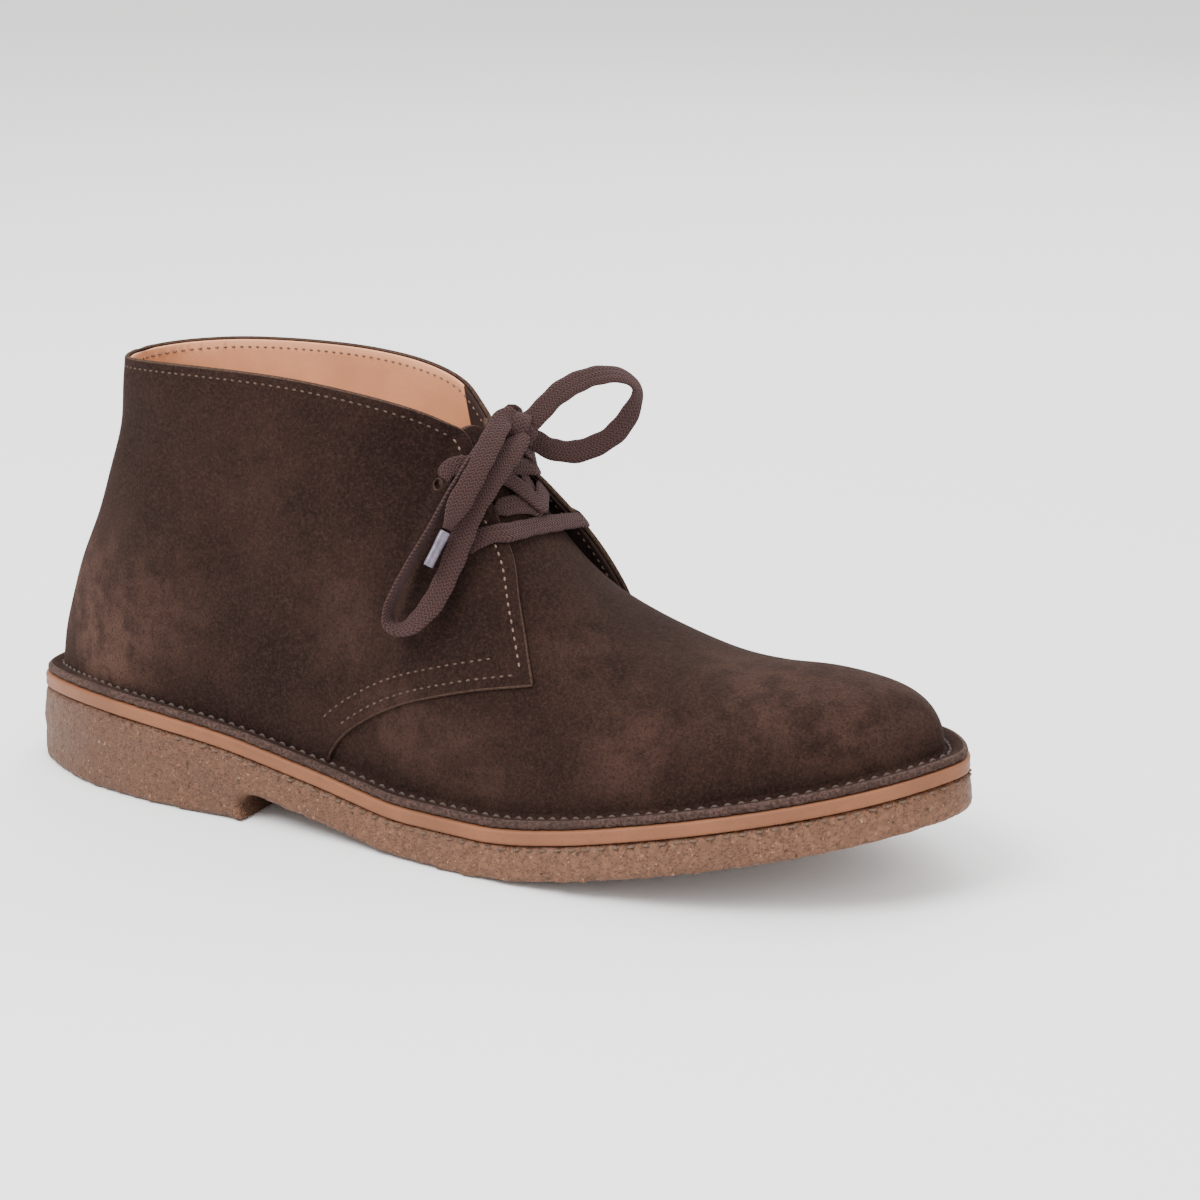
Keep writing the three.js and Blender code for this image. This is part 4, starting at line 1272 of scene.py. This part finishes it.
class BOOT_OT_flange(bpy.types.Operator):
    """The upper's turned-out foot, with the row of stitches that holds it to the midsole"""
    bl_idname = "boot.flange"
    bl_label = "Flange"

    def execute(self, context):
        profile = table("inset high", [
            [9.5, .1], [6, 0], [1.35, 0], [.95, .35], [.8, 1.2], [.85, 2], [1.2, 2.5], [2, 2.72],
            [3.4, 2.6], [4.4, 2.2], [5.2, 1.75], [5.9, 1.7], [6.4, 2.1], [6.9, 3], [7.4, 4.2],
            [8.4, 4.4], [9, 3],
        ])
        q = even_ring(560)
        rows = []
        for row in profile:
            rough = .12 * np.sin(q * 9.7) * np.sin(q * 23.1 + 2) + .1 * np.sin(q * 41)
            edge = 1 if row["inset"] < 2 else 0
            point, _ = outline(q, np.full(len(q), row["inset"]) + rough * edge)
            point[:, 2] = sole_top(point[:, 0]) + GAP + row["high"] * .86 + rough * .6 * edge
            rows.append(point)
        points = np.concatenate(rows)
        m, n = len(rows), len(q)
        faces = []
        for i in range(m):
            j = (i + 1) % m
            for k in range(n):
                e = (k + 1) % n
                faces.append([i * n + k, j * n + k, j * n + e, i * n + e])
        piece = new_piece("flange_suede", points, faces, finish_named("brown suede", suede),
                          ["upper"], "suede")
        # Half as much lighter worn nap and painted highlight on the flange.
        set_attribute(piece, "worn_and_highlight", worn_and_highlight_at(points) * .5)
        piece.data.materials.append(finish_named("cut suede edge", cut_edge))
        for f, poly in enumerate(piece.data.polygons):
            if 2 <= f // n <= 6:
                poly.material_index = 1
        weld(piece, outward=True)
        line, _ = outline(even_ring(700), np.full(700, 5.5))
        line[:, 2] = sole_top(line[:, 0]) + GAP + 1.7
        up = np.tile([0.0, 0.0, 1.0], (len(line), 1))
        stitch_row("stitches_flange", line, up, 3.6, .66, .95,
                   finish_named("flange thread", thread, (.085, .06, .052)))
        return {"FINISHED"}


def even_ring(count):
    """Places on the ring an even way apart along the midsole's edge."""
    fine = np.linspace(0, TURN, TURN * 60 + 1)
    point, _ = outline(fine, np.zeros(len(fine)))
    run = run_along(point)
    return np.interp(np.linspace(0, run[-1], count + 1)[:-1], run, fine)


def plate(rows, count):
    """Points and faces of a plate on the sole line, from rows of (inset, height function)."""
    q = even_ring(count)
    layers = []
    for inset, height in rows:
        point, _ = outline(q, np.full(count, float(inset)))
        point[:, 2] = height(point[:, 0])
        layers.append(point)
    faces = []
    for start in range(0, (len(rows) - 1) * count, count):
        for k in range(count):
            e = (k + 1) % count
            faces.append([start + k, start + e, start + count + e, start + count + k])
    last = (len(rows) - 1) * count
    for k in range(count // 2):
        low = list(dict.fromkeys((k, (count - k) % count, count - k - 1, k + 1)))
        if len(low) > 2:
            faces += [low, [last + p for p in low[::-1]]]
    return np.concatenate(layers), faces


def ring_plate(name, rows, count, finish, nodes, slot):
    """A leather plate from rows of (inset, height above the sole line)."""
    rows = [(inset, lambda x, h=high: sole_top(x) + h) for inset, high in rows]
    piece = new_piece(name, *plate(rows, count), finish, nodes, slot)
    weld(piece, 1e-6, outward=True)


class BOOT_OT_soles(bpy.types.Operator):
    """The leather midsole and insole, and the crepe sole with its heel"""
    bl_idname = "boot.soles"
    bl_label = "Soles"

    def execute(self, context):
        self.midsole()
        self.insole()
        self.outsole()
        self.groove_stitches()
        return {"FINISHED"}

    def midsole(self):
        rows = [(1.2, -MIDSOLE), (.3, -MIDSOLE), (.05, -MIDSOLE + .4), (0, -2.8), (.15, -2),
                (.05, -1.2), (0, -.6), (.15, -.2), (.7, 0), (8, 0)]
        ring_plate("midsole_edge", rows, 520, finish_named("midsole leather", midsole_leather),
                   ["midsole"], "midsole_leather")

    def insole(self):
        edge = FLANGE_WIDTH + WALL + 2 * GAP
        rows = [(edge + .6, GAP), (edge + .1, GAP + .6), (edge, GAP + 1.4),
                (edge + .3, GAP + 2.1), (edge + 1.6, GAP + INSOLE), (edge + 12, GAP + 1.9)]
        ring_plate("insole_leather", rows, 300, finish_named("lining leather", lining),
                   ["insole"], "lining_leather")

    def outsole(self):
        piece = crepe_body()
        piece.data.materials.clear()
        piece.data.materials.append(finish_named("crepe rubber", crepe))
        finish_piece(piece, ["outsole"])

    def groove_stitches(self):
        q = np.linspace(5.2, TURN - 5.2, 900)
        line, out = outline(q, np.full(len(q), -.25))
        line[:, 2] = sole_top(line[:, 0]) - MIDSOLE - GAP - .9
        stitch_row("stitches_sole", line, out, 4.4, .6, .8,
                   finish_named("sole thread", thread, (.13, .08, .055)), sink=.3)


def solid(name, points, faces):
    """A plain closed body for the crepe's joins."""
    body = bmesh.new()
    verts = [body.verts.new(p) for p in to_row(points)]
    for face in faces:
        body.faces.new([verts[p] for p in face])
    bmesh.ops.recalc_face_normals(body, faces=body.faces)
    mesh = bpy.data.meshes.new(name)
    body.to_mesh(mesh)
    body.free()
    piece = bpy.data.objects.new(name, mesh)
    bpy.context.scene.collection.objects.link(piece)
    return piece


def heel_limit():
    """A wide body that ends at the heel's breast, to cut the heel block with."""
    breast = spline([[0, 0], [-2.2, 3.4], [-1.6, 5.9], [.8, 7.7], [4.5, 8.6], [9, 9.4]], 26)
    breast[:, 0] += HEEL_LENGTH
    side = np.concatenate([[[HEEL_LENGTH, -2]], breast, [[breast[-1][0], 90], [-30, 90],
                                                         [-30, -2]]])
    n = len(side)
    points = [[x, y, z] for y in (-120, 120) for x, z in side]
    faces = [list(range(n)), list(range(n, 2 * n))[::-1]]
    for i in range(n):
        j = (i + 1) % n
        faces.append([j, i, n + i, n + j])
    return solid("heel_limit", points, faces)


def crepe_body():
    """The crepe sole: a plate and a heel block joined, then softened and pitted."""
    def head(x):
        return sole_top(x) - MIDSOLE - GAP

    def foot(x):
        return np.maximum(sole_top(x) - MIDSOLE - CREPE - GAP, 0)

    parts = []
    for name, low, high in (("crepe_forefoot", foot, head),
                            ("crepe_block", lambda x: x * 0, lambda x: head(x) - 1)):
        rows = [(-FLARE, low), (-FLARE * .5, lambda x, a=low, b=high: (a(x) + b(x)) / 2),
                (0, high)]
        parts.append(solid(name, *plate(rows, SOLE_STEPS)))
    sole, block = parts
    join(block, heel_limit(), "INTERSECT")
    join(sole, block, "UNION")
    select_only(sole)
    remesh = sole.modifiers.new("even", "REMESH")
    remesh.mode, remesh.voxel_size = "VOXEL", CREPE_MESH
    bpy.ops.object.modifier_apply(modifier="even")
    soften = sole.modifiers.new("soften", "SMOOTH")
    soften.factor, soften.iterations = .5, 7
    bpy.ops.object.modifier_apply(modifier="soften")
    mesh = sole.data
    co, normal = np.zeros((2, len(mesh.vertices) * 3))
    mesh.vertices.foreach_get("co", co)
    mesh.vertices.foreach_get("normal", normal)
    co, normal = co.reshape(-1, 3), normal.reshape(-1, 3)
    mm = co * 1000
    crumb = (np.sin(mm[:, 0] * 1.9 + np.sin(mm[:, 2] * 2.3) * 1.7)
             * np.sin(mm[:, 2] * 2.1 + np.sin(mm[:, 0] * 1.3 + mm[:, 1]) * 2)
             + .6 * np.sin(mm[:, 0] * .53 + mm[:, 2] * .9) * np.sin(mm[:, 1] * .7 + mm[:, 2]))
    side_face = np.clip(1 - np.abs(normal[:, 2]) * 1.3, 0, 1)
    co += normal * (crumb * CREPE_PIT * side_face)[:, None]
    co[:, 2] = np.maximum(co[:, 2], 0)
    mesh.vertices.foreach_set("co", co.ravel())
    mesh.update()
    mesh.polygons.foreach_set("use_smooth", [True] * len(mesh.polygons))
    sole.name = "crepe_sole"
    return sole


def select_only(piece):
    bpy.ops.object.select_all(action="DESELECT")
    piece.select_set(True)
    bpy.context.view_layer.objects.active = piece


def join(piece, other, how):
    select_only(piece)
    cut = piece.modifiers.new("join", "BOOLEAN")
    cut.operation, cut.object, cut.solver = how, other, "EXACT"
    bpy.ops.object.modifier_apply(modifier="join")
    bpy.data.objects.remove(other, do_unlink=True)


class BOOT_PT_panel(bpy.types.Panel):
    """Sizes, colours and pieces of the boot"""
    bl_idname = "BOOT_PT_panel"
    bl_label = "Desert boot"
    bl_space_type = "VIEW_3D"
    bl_region_type = "UI"
    bl_category = "Boot"

    def draw(self, context):
        layout = self.layout
        for group in (context.scene.boot_sizes, context.scene.boot_colors):
            for key in group.__annotations__:
                layout.prop(group, key)
        for operator in OPERATORS:
            layout.operator(operator.bl_idname)


OPERATORS = (BOOT_OT_stage, BOOT_OT_lace, BOOT_OT_quarters, BOOT_OT_vamp, BOOT_OT_flange,
             BOOT_OT_soles)
CLASSES = (BootColors, BootSizes) + OPERATORS + (BOOT_PT_panel,)


def register():
    for cls in CLASSES:
        bpy.utils.register_class(cls)
    bpy.types.Scene.boot_colors = PointerProperty(type=BootColors)
    bpy.types.Scene.boot_sizes = PointerProperty(type=BootSizes)


def unregister():
    del bpy.types.Scene.boot_sizes
    del bpy.types.Scene.boot_colors
    for cls in reversed(CLASSES):
        bpy.utils.unregister_class(cls)


def main():
    register()
    bpy.ops.boot.stage()
    bpy.ops.boot.lace()
    bpy.ops.boot.quarters()
    bpy.ops.boot.vamp()
    bpy.ops.boot.flange()
    bpy.ops.boot.soles()


if __name__ == "__main__":
    main()
